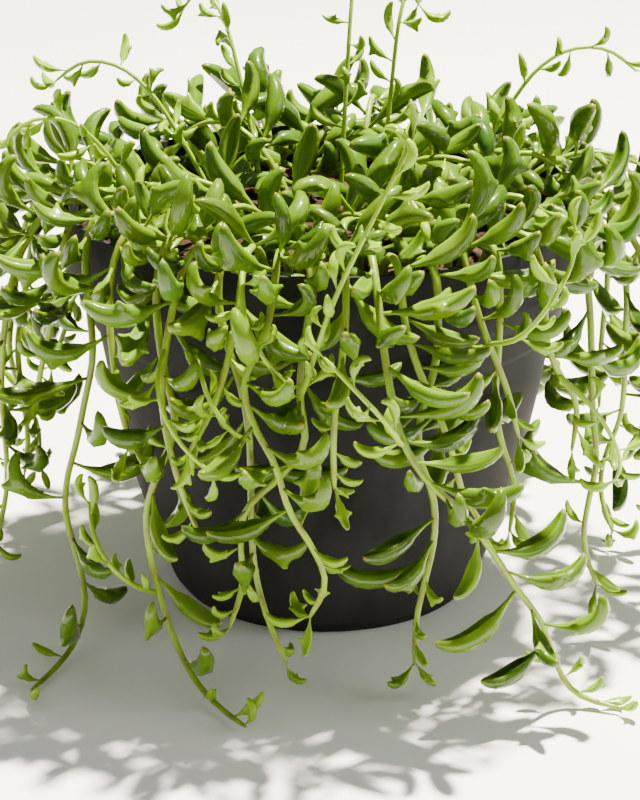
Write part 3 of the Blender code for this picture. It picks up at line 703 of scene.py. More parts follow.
class Space:
    """Every rod that has been placed, so that new ones can be tested against them."""

    def __init__(self):
        self.count = 0
        self.clear = CLEAR
        self.start = np.zeros((MOST_RODS, 3))
        self.end = np.zeros((MOST_RODS, 3))
        self.radius = np.zeros(MOST_RODS)
        self.owner = np.zeros(MOST_RODS, "U32")
        self.joint = np.zeros(MOST_RODS, int)

    def add(self, rods, owner, joint):
        for start, end, radius in rods:
            self.start[self.count] = start
            self.end[self.count] = end
            self.radius[self.count] = radius
            self.owner[self.count] = owner
            self.joint[self.count] = joint
            self.count += 1
            joint += 1 if joint >= 0 else 0

    def gaps(self, rod):
        """The gap from this rod to each one placed."""
        start, end, radius = np.array(rod[0]), np.array(rod[1]), rod[2]
        n = self.count
        one = end - start
        two = self.end[:n] - self.start[:n]
        offset = start - self.start[:n]
        a = max(one @ one, TINY)
        e = np.maximum((two * two).sum(1), TINY)
        f = (two * offset).sum(1)
        c = offset @ one
        b = two @ one
        spread = np.maximum(a * e - b * b, TINY * TINY)
        s = (b * f - c * e) / spread
        s = np.clip(s, 0, 1)
        t = (b * s + f) / e
        s = np.where(t < 0, np.clip(-c / a, 0, 1), s)
        s = np.where(t > 1, np.clip((b - c) / a, 0, 1), s)
        t = np.clip(t, 0, 1)
        apart = offset + s[:, None] * one - t[:, None] * two
        return np.linalg.norm(apart, axis=1) - radius - self.radius[:n]

    def blocked(self, rods, owner, joints=()):
        """Whether a rod has no room: the first may touch its own stem, the next two the given joints."""
        for number, rod in enumerate(rods):
            if self.count:
                gaps = self.gaps(rod)
                n = self.count
                other = self.owner[:n] != owner
                if (gaps[other] < self.clear).any():
                    return True
                own = ~other
                if number < RODS_BY_STEM:
                    own &= ~np.isin(self.joint[:n], joints)
                if number > 0 and (gaps[own] < OWN_CLEAR).any():
                    return True
            steps = np.linspace(0, 1, TEST_SPOTS)[:, None]
            spots = np.array(rod[0]) * (1 - steps) + np.array(rod[1]) * steps
            if (spots[:, 2] - rod[2] < GAP).any():
                return True
            if (pot_distance(spots) - rod[2] < CLEAR).any():
                return True
        return False


def stem_rods(stem):
    """The rods of a stem, one for each internode."""
    count = len(stem.points) - 1
    rods = []
    for i in range(count):
        radius = stem.radii[0] + (stem.radii[1] - stem.radii[0]) * i / count
        rods.append((stem.points[i], stem.points[i + 1], radius * ROD_MARGIN))
    return rods


print("room for", MOST_RODS, "rods")

# %% [markdown]
# A dolphin leaf is a fat crescent on a thin stalk. Its spine starts nearly straight and bends up more
# and more; the width swells after the stalk and closes to a blunt tip; and where a fin stands, it
# stands just past the middle.
# %% The leaf's spine and width


def spine(leaf):
    """Places, directions and inward normals along a leaf, from root to tip."""
    place = leaf.root.copy()
    places, directions, normals = [], [], []
    step = leaf.length / SPINE_STEPS
    for k in range(SPINE_STEPS + 1):
        t = k / SPINE_STEPS
        turn = leaf.bend * (EARLY_TURN * t + (1 - EARLY_TURN) * t * t)
        turn -= HOLLOW_BACK * math.sin(math.pi * t)
        direction = leaf.out * math.cos(turn) + leaf.up * math.sin(turn)
        normal = leaf.up * math.cos(turn) - leaf.out * math.sin(turn)
        places.append(place.copy())
        directions.append(direction)
        normals.append(normal)
        place += direction * step
    return places, directions, normals


def leaf_width(leaf, t):
    """Half width of the leaf in the plane that it bends in."""
    root, stalk = YOUNG_STALK if leaf.young else LEAF_STALK
    if t <= STALK_SHARE:
        return root + (stalk - root) * t / STALK_SHARE
    body = (t - STALK_SHARE) / (1 - STALK_SHARE)
    swell = math.sin(math.pi * body**EARLY_BELLY) ** BLUNT_ENDS if body < 1 else 0.0
    return stalk * (1 - body) + (leaf.half_width - STALK_IN_BODY * stalk) * swell


def fin_direction(edge, ahead, inward, across, lean):
    """Where a fin points: -1 is the keel's, 1 the left flipper and 2 the right one."""
    side = FLIPPER_SPREAD if edge == 1 else -FLIPPER_SPREAD
    flat = -inward if edge == -1 else across * side + inward * FLIPPER_RISE
    return flat * math.cos(lean) + ahead * math.sin(lean)


def leaf_rods(leaf):
    """The rods that hold a leaf and its fins."""
    places, directions, normals = spine(leaf)
    across = leaf.out.cross(leaf.up).normalized()
    rods = []
    for a, b in zip(ROD_MARKS, ROD_MARKS[1:]):
        widest = max(leaf_width(leaf, k / SPINE_STEPS) for k in range(a, b + 1))
        rods.append((places[a], places[b], widest))
    for edge, height, lean in leaf.fins:
        reach = leaf_width(leaf, FIN_RING / SPINE_STEPS) + height
        ahead, inward = directions[FIN_RING], normals[FIN_RING]
        away = fin_direction(edge, ahead, inward, across, lean)
        rods.append((places[FIN_RING], places[FIN_RING] + away * reach, FIN_RADIUS))
    return rods


def draw_leaf(stem, joint, draw, young):
    """A leaf in the middle of this internode, turned and sized by a random draw."""
    here, there = stem.points[joint], stem.points[joint + 1]
    along = (there - here).normalized()
    at_tip = joint == len(stem.points) - 2
    crown = stem.name.startswith("crown")
    lies = crown or (stem.name.startswith("trailing") and joint <= OVER_RIM)
    lengths = YOUNG_LENGTH if young else LEAF_LENGTH
    widths = YOUNG_HALF_WIDTH if young else LEAF_HALF_WIDTH
    plump = CROWN_PLUMP if crown else 1.0
    bends = CROWN_BEND if lies else LEAF_BEND
    if lies:
        side = along.cross(UP).normalized()
        turn = draw.choice((0, math.pi)) + draw.uniform(-CROWN_ROLL, CROWN_ROLL)
    else:
        side = along.orthogonal().normalized()
        turn = joint * GOLDEN_ANGLE + draw.uniform(-math.pi, math.pi)
    radial = Matrix.Rotation(turn, 3, along) @ side
    lean = math.radians(draw.uniform(*(TIP_LEAN if at_tip else LEAF_LEAN)))
    out = (radial * math.cos(lean) + along * math.sin(lean)).normalized()
    uneven = CROWN_UNEVEN if lies else UNEVEN
    rise = draw.uniform(*CROWN_CURVE) if lies else 1.0
    target = UP * rise + Vector([draw.uniform(-uneven, uneven) for _ in range(3)])
    up = target - out * target.dot(out)
    if up.length < LEAST_UP:
        up = radial - out * radial.dot(out)
    size = draw.random()
    sets, shares = zip(*FIN_SETS)
    smaller = YOUNG_FIN if young else 1.0
    fins = []
    for edge in draw.choices(sets, shares)[0]:
        height = draw.uniform(*FIN_HEIGHT) * smaller
        fins.append((edge, height, math.radians(draw.uniform(*FIN_LEAN))))
    return Leaf(
        root=here.lerp(there, 0.5),
        out=out,
        up=up.normalized(),
        length=lengths[0] + (lengths[1] - lengths[0]) * size,
        half_width=(widths[0] + (widths[1] - widths[0]) * size) * plump,
        bend=math.radians(draw.uniform(*bends)),
        fins=tuple(fins),
        young=young,
    )


print("a spine has", SPINE_STEPS, "steps")

# %% [markdown]
# The trailing stems are listed one by one after the plant: where each crosses the rim, how far out and
# how low it hangs, how it drifts, and whether it runs on along the surface. The crown follows the golden
# angle, as leaves round a bud do, and the thin shoots and side shoots are listed one by one again.
# %% Where the stems go
TRAILERS = [
    (-146, 0.006, 0.000, 0.002, 0.036, -111),
    (-135, 0.010, 0.066, 0.012, 0.0, 0),
    (-124, 0.008, 0.000, 0.012, 0.034, -57),
    (-118, 0.017, 0.046, 0.014, 0.0, 0),
    (-111, 0.007, 0.010, 0.022, 0.0, 0),
    (-105, 0.014, 0.070, -0.012, 0.0, 0),
    (-99, 0.018, 0.026, 0.016, 0.0, 0),
    (-92, 0.007, 0.018, -0.014, 0.0, 0),
    (-87, 0.015, 0.062, -0.010, 0.0, 0),
    (-81, 0.021, 0.000, 0.048, 0.018, -20),
    (-76, 0.010, 0.044, 0.022, 0.0, 0),
    (-69, 0.006, 0.006, -0.012, 0.0, 0),
    (-62, 0.012, 0.070, 0.012, 0.0, 0),
    (-55, 0.006, 0.040, -0.010, 0.0, 0),
    (-44, 0.011, 0.060, 0.006, 0.0, 0),
    (-30, 0.010, 0.012, -0.003, 0.0, 0),
    (-14, 0.022, 0.030, 0.006, 0.0, 0),
    (6, 0.012, 0.004, 0.010, 0.0, 0),
    (24, 0.016, 0.038, -0.006, 0.0, 0),
    (46, 0.008, 0.000, 0.008, 0.026, 70),
    (66, 0.013, 0.052, 0.006, 0.0, 0),
    (86, 0.008, 0.014, -0.010, 0.0, 0),
    (106, 0.014, 0.036, 0.008, 0.0, 0),
    (128, 0.009, 0.000, -0.006, 0.022, 120),
    (148, 0.013, 0.044, 0.006, 0.0, 0),
    (165, 0.020, 0.020, -0.008, 0.0, 0),
    (180, 0.012, 0.032, 0.006, 0.0, 0),
    (194, 0.018, 0.014, -0.004, 0.0, 0),
    (205, 0.008, 0.058, -0.004, 0.0, 0),
]
UPRIGHTS = [
    (62, 0.036, 0.020, 0.052),
    (78, 0.022, 0.034, 0.060),
    (18, 0.040, 0.052, 0.040),
    (118, 0.040, 0.042, 0.046),
    (160, 0.034, 0.050, 0.034),
    (-158, 0.050, 0.044, 0.030),
]
SIDE_SHOOTS = [
    (8, 6, 0.075, 0.018, 0.030),
    (5, 7, 0.026, 0.016, -0.012),
    (3, 11, 0.026, 0.014, -0.018),
    (15, 6, -0.034, 0.014, 0.018),
    (17, 6, -0.040, 0.012, 0.006),
    (26, 7, -0.028, 0.016, -0.014),
    (21, 7, 0.024, 0.014, 0.016),
    (13, 5, 0.030, 0.016, 0.022),
    (6, 3, -0.034, 0.018, 0.016),
    (10, 7, 0.028, 0.016, -0.022),
    (4, 5, -0.030, 0.012, 0.018),
    (23, 5, -0.034, 0.016, 0.014),
]
CROWN_COUNT = 22
CROWN_SPREAD = 0.051
CROWN_START = 0.6
ROOT_RING = (0.054, 0.062)
FOOT_RISE = 0.003
RIM_WOBBLE = 1.0
RIM_LIFT = (0.004, 0.008)
STEM_REST = 0.001
HANG_TOP = POT_HEIGHT - 0.010
LANDING = 0.006
SWAY = 0.0085
RIPPLE = 0.0050
MARK_SPACING = 0.018
BULGE = (0.75, 0.45, 1.1)
SKIRT = 0.006
WANDER = 0.0030
CURL = (0.004, 0.013)
CURL_LIFT = 0.35
DRIFT_POWER = 1.2
RUN_MARKS = (0.45, 1.0)
CROWN_REACH = (0.022, 0.042)
CROWN_RISE = (0.008, 0.024)
CROWN_LEAN = 0.7
CROWN_TURN = 0.1
CROWN_LIFT = 0.005
CROWN_MIDDLE = 1.15
CROWN_FALL = 0.4
CROWN_MARKS = ((0.25, 0.60), (0.65, 1.0), (1.0, 0.75))
UPRIGHT_LEAN = 0.4
UPRIGHT_TURN = 3
UPRIGHT_NOD = 0.008
UPRIGHT_MARKS = ((0.18, 0.45), (0.48, 0.92), (0.80, 1.0))
SIDE_WAVE = (0.7, 1.3)
SIDE_MARKS = ((1.0, 0.45, 0.35), (0.9, 0.80, 0.75), (0.5, 1.0, 1.0))
SIDE_START = (0.55, 0.12, 0.10)


def trailing_marks(spec, draw):
    """Marks of a stem that climbs over the rim, hangs down and may run along the table."""
    azimuth, out, low, drift, run, heading = spec
    rim = math.radians(azimuth + draw.uniform(-RIM_WOBBLE, RIM_WOBBLE))
    root_radius = draw.uniform(*ROOT_RING)
    ground = soil_height(root_radius)
    lift = draw.uniform(*RIM_LIFT)
    lands = low <= 0
    marks = [
        polar(root_radius, rim, ground - HOLE_DEPTH + GAP),
        polar(root_radius, rim, ground + FOOT_RISE),
        polar(root_radius + 2 * FOOT_RISE, rim, POT_HEIGHT + lift / 2),
        polar(RIM_RADIUS + 2 * STEM_REST, rim, POT_HEIGHT + lift),
    ]
    drop = HANG_TOP - (TABLE_HEIGHT + LANDING if lands else low)
    sway = draw.uniform(-SWAY, SWAY)
    ripple = draw.uniform(-RIPPLE, RIPPLE)
    phase = draw.uniform(0, math.pi)
    across = Vector((-math.sin(rim), math.cos(rim), 0.0))
    least, swell, sooner = BULGE
    count = max(2, round(drop / MARK_SPACING))
    for k in range(count + 1):
        share = k / count
        reach = RIM_RADIUS + out * (least + swell * math.sin(math.pi * min(1.0, share * sooner)))
        if lands:
            reach += SKIRT * share
        reach += WANDER * math.sin(3 * math.pi * share + phase) * share
        wave = sway * math.sin(2 * math.pi * share)
        wave += ripple * (math.sin(5 * math.pi * share + phase) - math.sin(phase))
        side = drift * share**DRIFT_POWER + wave
        lift = 0.0
        if k == count and not lands:
            curl = draw.uniform(*CURL)
            reach += curl
            lift = curl * CURL_LIFT
        marks.append(polar(reach, rim, HANG_TOP - drop * share + lift) + across * side)
    if lands and run > 0:
        ahead = polar(1.0, math.radians(heading), 0.0)
        corner = marks[-1]
        for along in RUN_MARKS:
            spot = corner + ahead * run * along
            marks.append(Vector((spot.x, spot.y, TABLE_HEIGHT)))
    return marks


def crown_marks(index, draw):
    """Marks of a short stem that rises from the soil and leans outwards."""
    radius = CROWN_SPREAD * math.sqrt((index + CROWN_START) / CROWN_COUNT)
    azimuth = index * GOLDEN_ANGLE + draw.uniform(-CROWN_TURN, CROWN_TURN)
    ground = soil_height(radius)
    lean = azimuth + draw.uniform(-CROWN_LEAN, CROWN_LEAN)
    reach = draw.uniform(*CROWN_REACH)
    rise = draw.uniform(*CROWN_RISE) * (CROWN_MIDDLE - CROWN_FALL * radius / CROWN_SPREAD)
    root = polar(radius, azimuth, ground)
    ahead = polar(reach, lean, 0.0)
    marks = [root - UP * (HOLE_DEPTH - GAP), root + UP * FOOT_RISE]
    for out, high in CROWN_MARKS:
        marks.append(root + ahead * out + UP * (CROWN_LIFT + rise * high))
    return marks


def upright_marks(spec, draw):
    """Marks of a long thin shoot that stands up and nods at its tip."""
    azimuth, radius, reach, height = spec
    turn = math.radians(azimuth + draw.uniform(-UPRIGHT_TURN, UPRIGHT_TURN))
    ground = soil_height(radius)
    root = polar(radius, turn, ground)
    ahead = polar(reach, turn + draw.uniform(-UPRIGHT_LEAN, UPRIGHT_LEAN), 0.0)
    rise = POT_HEIGHT + height - ground
    marks = [root - UP * (HOLE_DEPTH - GAP), root + UP * FOOT_RISE]
    for out, high in UPRIGHT_MARKS:
        marks.append(root + ahead * out + UP * rise * high)
    marks.append(root + ahead + UP * (rise - UPRIGHT_NOD))
    return marks


def side_marks(base, spec, draw):
    """Marks of a young shoot that leaves a hanging stem."""
    rise, reach, across = spec
    outwards = Vector((base.x, base.y, 0.0)).normalized()
    side = Vector((-outwards.y, outwards.x, 0.0)) * across
    out, high, aside = SIDE_START
    shares = [(out * draw.uniform(*SIDE_WAVE), high, aside), *SIDE_MARKS]
    marks = [base]
    for out, high, aside in shares:
        marks.append(base + outwards * reach * out + UP * rise * high + side * aside)
    return marks


print(len(TRAILERS) + len(UPRIGHTS) + CROWN_COUNT, "plants in the pot")

# %% [markdown]
# A stem's marks become evenly spaced joints on a smooth curve. If it has no room, it is drawn again.
# Then every internode bears one leaf, also drawn again until it has room.
# %% Grow the stems and the leaves of the solids
ROUTE_SPANS = 12
TRAILER_SEED = 132
UPRIGHT_SEED = 132
CROWN_SEED = 111
SIDE_SEED = 341
LEAF_SEED = 1042


def smooth_route(marks, step):
    """Joints about one step apart on a smooth curve through the marks."""
    ends = [2 * marks[0] - marks[1]] + list(marks) + [2 * marks[-1] - marks[-2]]
    fine = []
    for i in range(1, len(ends) - 2):
        before, here, there, after = ends[i - 1 : i + 3]
        for k in range(ROUTE_SPANS):
            t = k / ROUTE_SPANS
            fine.append(
                0.5
                * (
                    2 * here
                    + (there - before) * t
                    + (2 * before - 5 * here + 4 * there - after) * t**2
                    + (3 * here - before - 3 * there + after) * t**3
                )
            )
    fine.append(marks[-1].copy())
    along = [0.0]
    for a, b in zip(fine, fine[1:]):
        along.append(along[-1] + (b - a).length)
    count = max(2, round(along[-1] / step))
    joints = []
    k = 0
    for i in range(count + 1):
        at = along[-1] * i / count
        while k < len(fine) - 2 and along[k + 1] < at:
            k += 1
        share = (at - along[k]) / (along[k + 1] - along[k])
        joints.append(fine[k].lerp(fine[k + 1], min(1.0, share)))
    return joints


def place_stem(space, stems, name, marks_of, step, radii, owner, parent=()):
    """Draws the stem again until it is clear of the others, and keeps it."""
    for _ in range(STEM_TRIES):
        marks = marks_of()
        if parent:
            joints = smooth_route(marks, step)
        else:
            joints = marks[:1] + smooth_route(marks[1:], step)
        stem = Stem(name, joints, radii, owner, bool(parent))
        rods = stem_rods(stem)
        if not space.blocked(rods if parent else rods[1:], owner, parent):
            space.add(rods, owner, BRANCH_JOINTS if parent else 0)
            stems.append(stem)
            return
    print(f"{name}: no room, left out")


def lay_out_stems(space):
    """All stems, the trailing ones first, then the side shoots that they bear."""
    stems = []
    crown = range(CROWN_COUNT)
    kinds = [
        ("trailing_stem", TRAILERS, trailing_marks, TRAILER_STEP, TRAILER_RADIUS, TRAILER_SEED),
        ("upright_shoot", UPRIGHTS, upright_marks, SHOOT_STEP, SHOOT_RADIUS, UPRIGHT_SEED),
        ("crown_stem", crown, crown_marks, CROWN_STEP, CROWN_RADIUS, CROWN_SEED),
    ]
    for kind, specs, marks_of, step, radii, seed in kinds:
        for number, spec in enumerate(specs):
            name = f"{kind}_{number + 1:02d}"
            draw = random.Random(seed + number)
            route = partial(marks_of, spec, draw)
            place_stem(space, stems, name, route, step, radii, name)
    for number, (bearer, joint, *reach) in enumerate(SIDE_SHOOTS):
        draw = random.Random(SIDE_SEED + number)
        bearing = next(stem for stem in stems if stem.name == f"trailing_stem_{bearer:02d}")
        route = partial(side_marks, bearing.points[joint], reach, draw)
        name = f"side_shoot_{number + 1:02d}"
        parent = (joint - 1, joint)
        place_stem(space, stems, name, route, SHOOT_STEP, SHOOT_RADIUS, bearing.owner, parent)
    return stems


def grow_leaf(space, stem, joint, draw, young, root=None, tries=LEAF_TRIES, near=None):
    """Draws this leaf again until it has room, a little smaller each time."""
    base = BRANCH_JOINTS if stem.parent else 0
    near = near or (base + joint,)
    for attempt in range(tries):
        leaf = draw_leaf(stem, joint, draw, young)
        leaf.root = root or leaf.root
        leaf.length *= 1.0 - SHRINK * attempt / LEAF_TRIES
        rods = leaf_rods(leaf)
        if not space.blocked(rods, stem.owner, near):
            space.add(rods, stem.owner, -joint - base - 1)
            stem.leaves.append(leaf)
            return


def grow_leaves(space, stems):
    """One leaf for each internode of each stem, wherever one finds room."""
    for number, stem in enumerate(stems):
        draw = random.Random(LEAF_SEED + number)
        shoot = "shoot" in stem.name
        last = len(stem.points) - 2
        first = 0 if stem.parent else 1
        for joint in range(first, last + 1):
            young = shoot or joint >= last - 1
            grow_leaf(space, stem, joint, draw, young)


space = Space()
stems = lay_out_stems(space)
grow_leaves(space, stems)
print(len(stems), "stems with", sum(len(stem.leaves) for stem in stems), "leaves in the solids")

# %% [markdown]
# The solids hold one leaf for each internode. The real plant has far more, so a second round grows
# leaves at the joints themselves, most of them in the crown and by the rim, and small ones at each
# tip. These may brush against each other, as real ones do.
# %% Grow the leaves in between
EXTRA_SEED = 5200
EXTRA_TRIES = 10
RIM_JOINTS = 4
TIP_LEAVES = 3
TIP_PLACE = 0.92
BRUSH = -0.5 * MM
THIN_STEMS = (1, 3, 5, 14, 15, 16)
CROWN_LEAVES = 4
RIM_LEAVES = 3


def joint_on_curve(stem, joint):
    """Where the smooth stem passes this joint: the middle of a Bezier span between two roots."""
    before, here, after = stem.points[joint - 1 : joint + 2]
    return (before + here * 6 + after) / 8


def grow_extra_leaves(space, stems):
    """More leaves at the joints: most in the crown, and none low on the thinly leaved stems."""
    space.clear = BRUSH
    thin = [f"trailing_stem_{number:02d}" for number in THIN_STEMS]
    for number, stem in enumerate(stems):
        draw = random.Random(EXTRA_SEED + number)
        shoot = "shoot" in stem.name
        crown = stem.name.startswith("crown")
        last = len(stem.points) - 2
        base = BRANCH_JOINTS if stem.parent else 0
        for joint in range(1 if stem.parent or crown else 2, last + 1):
            root = joint_on_curve(stem, joint)
            near = (base + joint, base + joint - 1)
            young = shoot or (joint >= last - 1 and not crown)
            by_rim = not shoot and joint <= RIM_JOINTS
            if stem.name in thin and not by_rim:
                continue
            for _ in range(CROWN_LEAVES if crown else RIM_LEAVES if by_rim else 1):
                grow_leaf(space, stem, joint, draw, young, root, EXTRA_TRIES, near)
        for _ in range(TIP_LEAVES):
            tip = stem.points[-2].lerp(stem.points[-1], TIP_PLACE)
            grow_leaf(space, stem, last, draw, True, tip, EXTRA_TRIES, (base + last, base + last - 1))


grow_extra_leaves(space, stems)
print(sum(len(stem.leaves) for stem in stems), "leaves in all")

# %% [markdown]
# ## The leaf
# All leaves share one form, so it is modelled once, straight, one unit long and with a half width of
# one. It could be carved from a subdivided cube, but a section that is extruded ring by ring follows
# the width rule exactly: a grooved top between two light edges, round flanks and a soft keel. A fin or
# a flipper is a small field of faces that is drawn out twice, narrower each time.
# %% Model the leaf
LEAF_SECTION = [
    (0.0, 0.40),
    (0.62, 0.66),
    (0.92, -0.10),
    (0.48, -0.86),
    (-0.48, -0.86),
    (-0.92, -0.10),
    (-0.62, 0.66),
]
LEAF_RINGS = (0, 3, 6, 8, 10, 12, 14, 16, 18, 19)
FIN_FIELD = (10, 14)
FIN_STEPS = ((0.40, 0.52, 0.60), (0.60, 0.34, 0.42))
FIN_WAYS = {-1: (0.0, -1.0), 1: (1.0, 0.0), 2: (-1.0, 0.0)}
FIN_BASE = {-1: (0.0, -0.86), 1: (0.77, 0.28), 2: (-0.77, 0.28)}
FIN_FLATTER = 0.35
FIN_FOOT = 0.25
FIN_TIP = 0.9
LIGHT_EDGE = (0.4, 0.5)
FULLER_ENDS = 0.32
FULL_FROM = 0.25
PATTERN_LEAF = Leaf(
    root=Vector((0, 0, 0)),
    out=Vector((1, 0, 0)),
    up=UP,
    length=1.0,
    half_width=sum(LEAF_HALF_WIDTH) / 2,
    bend=0.0,
    fins=(),
    young=False,
)


def pattern_width(ring):
    """Half width of the pattern at this step of the spine: the rods' own, but fuller at its ends."""
    t = ring / SPINE_STEPS
    body = max(0.0, (t - STALK_SHARE) / (1 - STALK_SHARE))
    plain = max(0.0, leaf_width(PATTERN_LEAF, t) / PATTERN_LEAF.half_width)
    return plain ** (1 - FULLER_ENDS * min(1.0, body / FULL_FROM))


def select_faces(piece, wanted):
    """Selects, in edit mode, the faces whose centre is wanted."""
    bpy.ops.mesh.select_mode(type="FACE")
    bpy.ops.mesh.select_all(action="DESELECT")
    bpy.ops.object.mode_set(mode="OBJECT")
    for face in piece.data.polygons:
        face.select = wanted(face.center)
    bpy.ops.object.mode_set(mode="EDIT")


def mark_selected(piece, name, value):
    """Writes a number on the selected points."""
    bpy.ops.object.mode_set(mode="OBJECT")
    marks = piece.data.attributes[name].data
    for vertex in piece.data.vertices:
        if vertex.select:
            marks[vertex.index].value = value
    bpy.ops.object.mode_set(mode="EDIT")


def draw_out_fin(piece, edge):
    """Extrudes the faces on one edge of the leaf (-1 keel, 1 left, 2 right) into a tapering fin."""
    first, last = (ring / SPINE_STEPS for ring in FIN_FIELD)
    wide = pattern_width(FIN_RING)
    way = Vector((0.0, *FIN_WAYS[edge]))
    base = Vector((0.0, *FIN_BASE[edge])) * wide

    def on_edge(centre):
        off = Vector((0.0, centre.y, centre.z)) - base
        return first < centre.x < last and off.length < FIN_FOOT * wide

    select_faces(piece, on_edge)
    pivot = base + Vector(((first + last) / 2, 0.0, 0.0))
    reach = 0.0
    for rise, narrower, thinner in FIN_STEPS:
        reach += rise
        bpy.ops.mesh.extrude_region_move(TRANSFORM_OT_translate={"value": way * rise})
        size = (narrower, *(FIN_FLATTER if axis else thinner for axis in way.yz))
        bpy.ops.transform.resize(value=size, center_override=pivot + way * reach)
        mark_selected(piece, "fin", reach)
        mark_selected(piece, "fin_edge", edge)


def model_leaf(name, edges):
    """The straight leaf, with a fin on each of the given edges."""
    deselect_everything()
    bpy.ops.mesh.primitive_circle_add(vertices=len(LEAF_SECTION), radius=1.0, fill_type="NGON")
    leaf = bpy.context.object
    leaf.name = name
    for attribute_name in ("fin", "fin_edge", "edge", "tint", "stalk", "tender", "tip"):
        leaf.data.attributes.new(attribute_name, "FLOAT", "POINT")
    start = pattern_width(LEAF_RINGS[0])
    for vertex, (across, high) in zip(leaf.data.vertices, LEAF_SECTION):
        vertex.co = (0.0, across * start, high * start)
    edit(leaf)
    for before, ring in zip(LEAF_RINGS, LEAF_RINGS[1:]):
        at = ring / SPINE_STEPS
        step = at - before / SPINE_STEPS
        growth = pattern_width(ring) / pattern_width(before)
        bpy.ops.mesh.extrude_region_move(TRANSFORM_OT_translate={"value": (step, 0, 0)})
        bpy.ops.transform.resize(value=(1, growth, growth), center_override=(at, 0, 0))
    tip = 1 - LEAF_RINGS[-1] / SPINE_STEPS
    bpy.ops.mesh.extrude_region_move(TRANSFORM_OT_translate={"value": (tip, 0, 0)})
    bpy.ops.mesh.merge(type="CENTER")
    for edge in edges:
        draw_out_fin(leaf, edge)
    close_mesh()
    bpy.ops.object.shade_smooth()
    light = leaf.data.attributes["edge"].data
    fins = leaf.data.attributes["fin"].data
    aside, above = LIGHT_EDGE
    for vertex in leaf.data.vertices:
        wide = pattern_width(vertex.co.x * SPINE_STEPS)
        on_edge = vertex.co.z > above * wide and abs(vertex.co.y) > aside * wide
        light[vertex.index].value = float(on_edge or fins[vertex.index].value > FIN_TIP)
    return leaf


PATTERNS = {
    edges: model_leaf(f"leaf_pattern_{number}", edges)
    for number, (edges, _) in enumerate(FIN_SETS)
}
for edges, pattern in PATTERNS.items():
    print("leaf with fins on", edges, "has", len(pattern.data.polygons), "faces")


# %% [markdown]
# A copy of the pattern is laid along a leaf's spine: each ring moves to its place, stands square to the
# spine there and takes that leaf's width. A slight twist along the way keeps the copies from looking
# alike. Each copy also carries numbers for its colour: its own tint, how close to the stalk and to the
# tip a point is, how tender (young) the leaf is, and where its light edges run.
# %% Bend the copies
TWIST = 0.5
LOOK_SEED = 9100
STALK_END = 0.38
TIP_START = 0.9
TIP_SPAN = 0.1
TENDER = {True: (0.55, 1.0), False: (0.0, 0.3)}


def read_places(mesh):
    """The places of all points, as rows of x, y and z."""
    flat = np.empty(len(mesh.vertices) * 3, np.float32)
    mesh.vertices.foreach_get("co", flat)
    return flat.reshape(-1, 3).astype(float)


def read_numbers(mesh, name):
    """The number that this attribute gives each point."""
    numbers = np.empty(len(mesh.vertices), np.float32)
    mesh.attributes[name].data.foreach_get("value", numbers)
    return numbers


def write_numbers(mesh, values):
    """Writes a number on each point, one attribute for each name."""
    for name, numbers in values.items():
        made = mesh.attributes.get(name) or mesh.attributes.new(name, "FLOAT", "POINT")
        made.data.foreach_set("value", numbers.astype(np.float32))


def bend_copy(pattern, leaf, draw):
    """One leaf of the plant, bent from the straight pattern."""
    mesh = pattern.data.copy()
    x, y, z = read_places(mesh).T
    fin = read_numbers(mesh, "fin")
    fin_edge = read_numbers(mesh, "fin_edge")
    for edge, (sideways, upwards) in FIN_WAYS.items():
        y = y - np.where(fin_edge == edge, fin * sideways, 0.0)
        z = z - np.where(fin_edge == edge, fin * upwards, 0.0)
    places, directions, normals = (np.array(part) for part in spine(leaf))
    across = np.array(leaf.out.cross(leaf.up).normalized())
    steps = np.arange(SPINE_STEPS + 1)
    at = np.clip(x * SPINE_STEPS, 0, SPINE_STEPS)

    def along(values):
        return np.stack([np.interp(at, steps, values[:, axis]) for axis in range(3)], axis=1)

    here, ahead, inward = along(places), along(directions), along(normals)
    twist = draw.uniform(-TWIST, TWIST) * x
    turned_y = y * np.cos(twist) - z * np.sin(twist)
    turned_z = y * np.sin(twist) + z * np.cos(twist)
    spot = here + inward * (turned_z * leaf.half_width)[:, None]
    spot += across * (turned_y * leaf.half_width)[:, None]
    for edge, height, lean in leaf.fins:
        own = np.where(fin_edge == edge, fin, 0.0)[:, None]
        spot += fin_direction(edge, ahead, inward, across, lean) * own * height
    mesh.vertices.foreach_set("co", spot.astype(np.float32).ravel())
    values = {
        "tender": np.full(len(x), draw.uniform(*TENDER[leaf.young])),
        "tint": np.full(len(x), draw.random()),
        "stalk": np.clip(1.0 - x / STALK_END, 0.0, 1.0),
        "tip": np.clip((x - TIP_START) / TIP_SPAN, 0.0, 1.0),
    }
    write_numbers(mesh, values)
    mesh.update()
    return new_object("leaf", mesh)


def pattern_for(leaf):
    """The pattern that has this leaf's fins."""
    return PATTERNS[tuple(fin[0] for fin in leaf.fins)]


print("leaves twist by up to", round(math.degrees(TWIST)), "degrees")

# %% [markdown]
# ## The stems
# A stem is a Bezier curve with a round bevel. Its points are the middles of the internodes, where the
# leaves root, and its handles reach two thirds of the way to the joints, which makes the curve pass
# through each leaf's root without a kink. Below each leaf the stem is a touch thicker, as at a node.
# %% Draw the stems
CURVE_STEPS = 3
TUBE_ROUNDNESS = 2
TUBE_MERGE = 0.02 * MM
HANDLE_REACH = 2 / 3
NODE_SWELL = 1.10
END_TAPER = 0.45
STEM_TENDER = {True: (0.55, 1.0), False: (0.0, 0.75)}
SCAR_CORE = 1.8
SCAR_FADE = 1.1 * MM


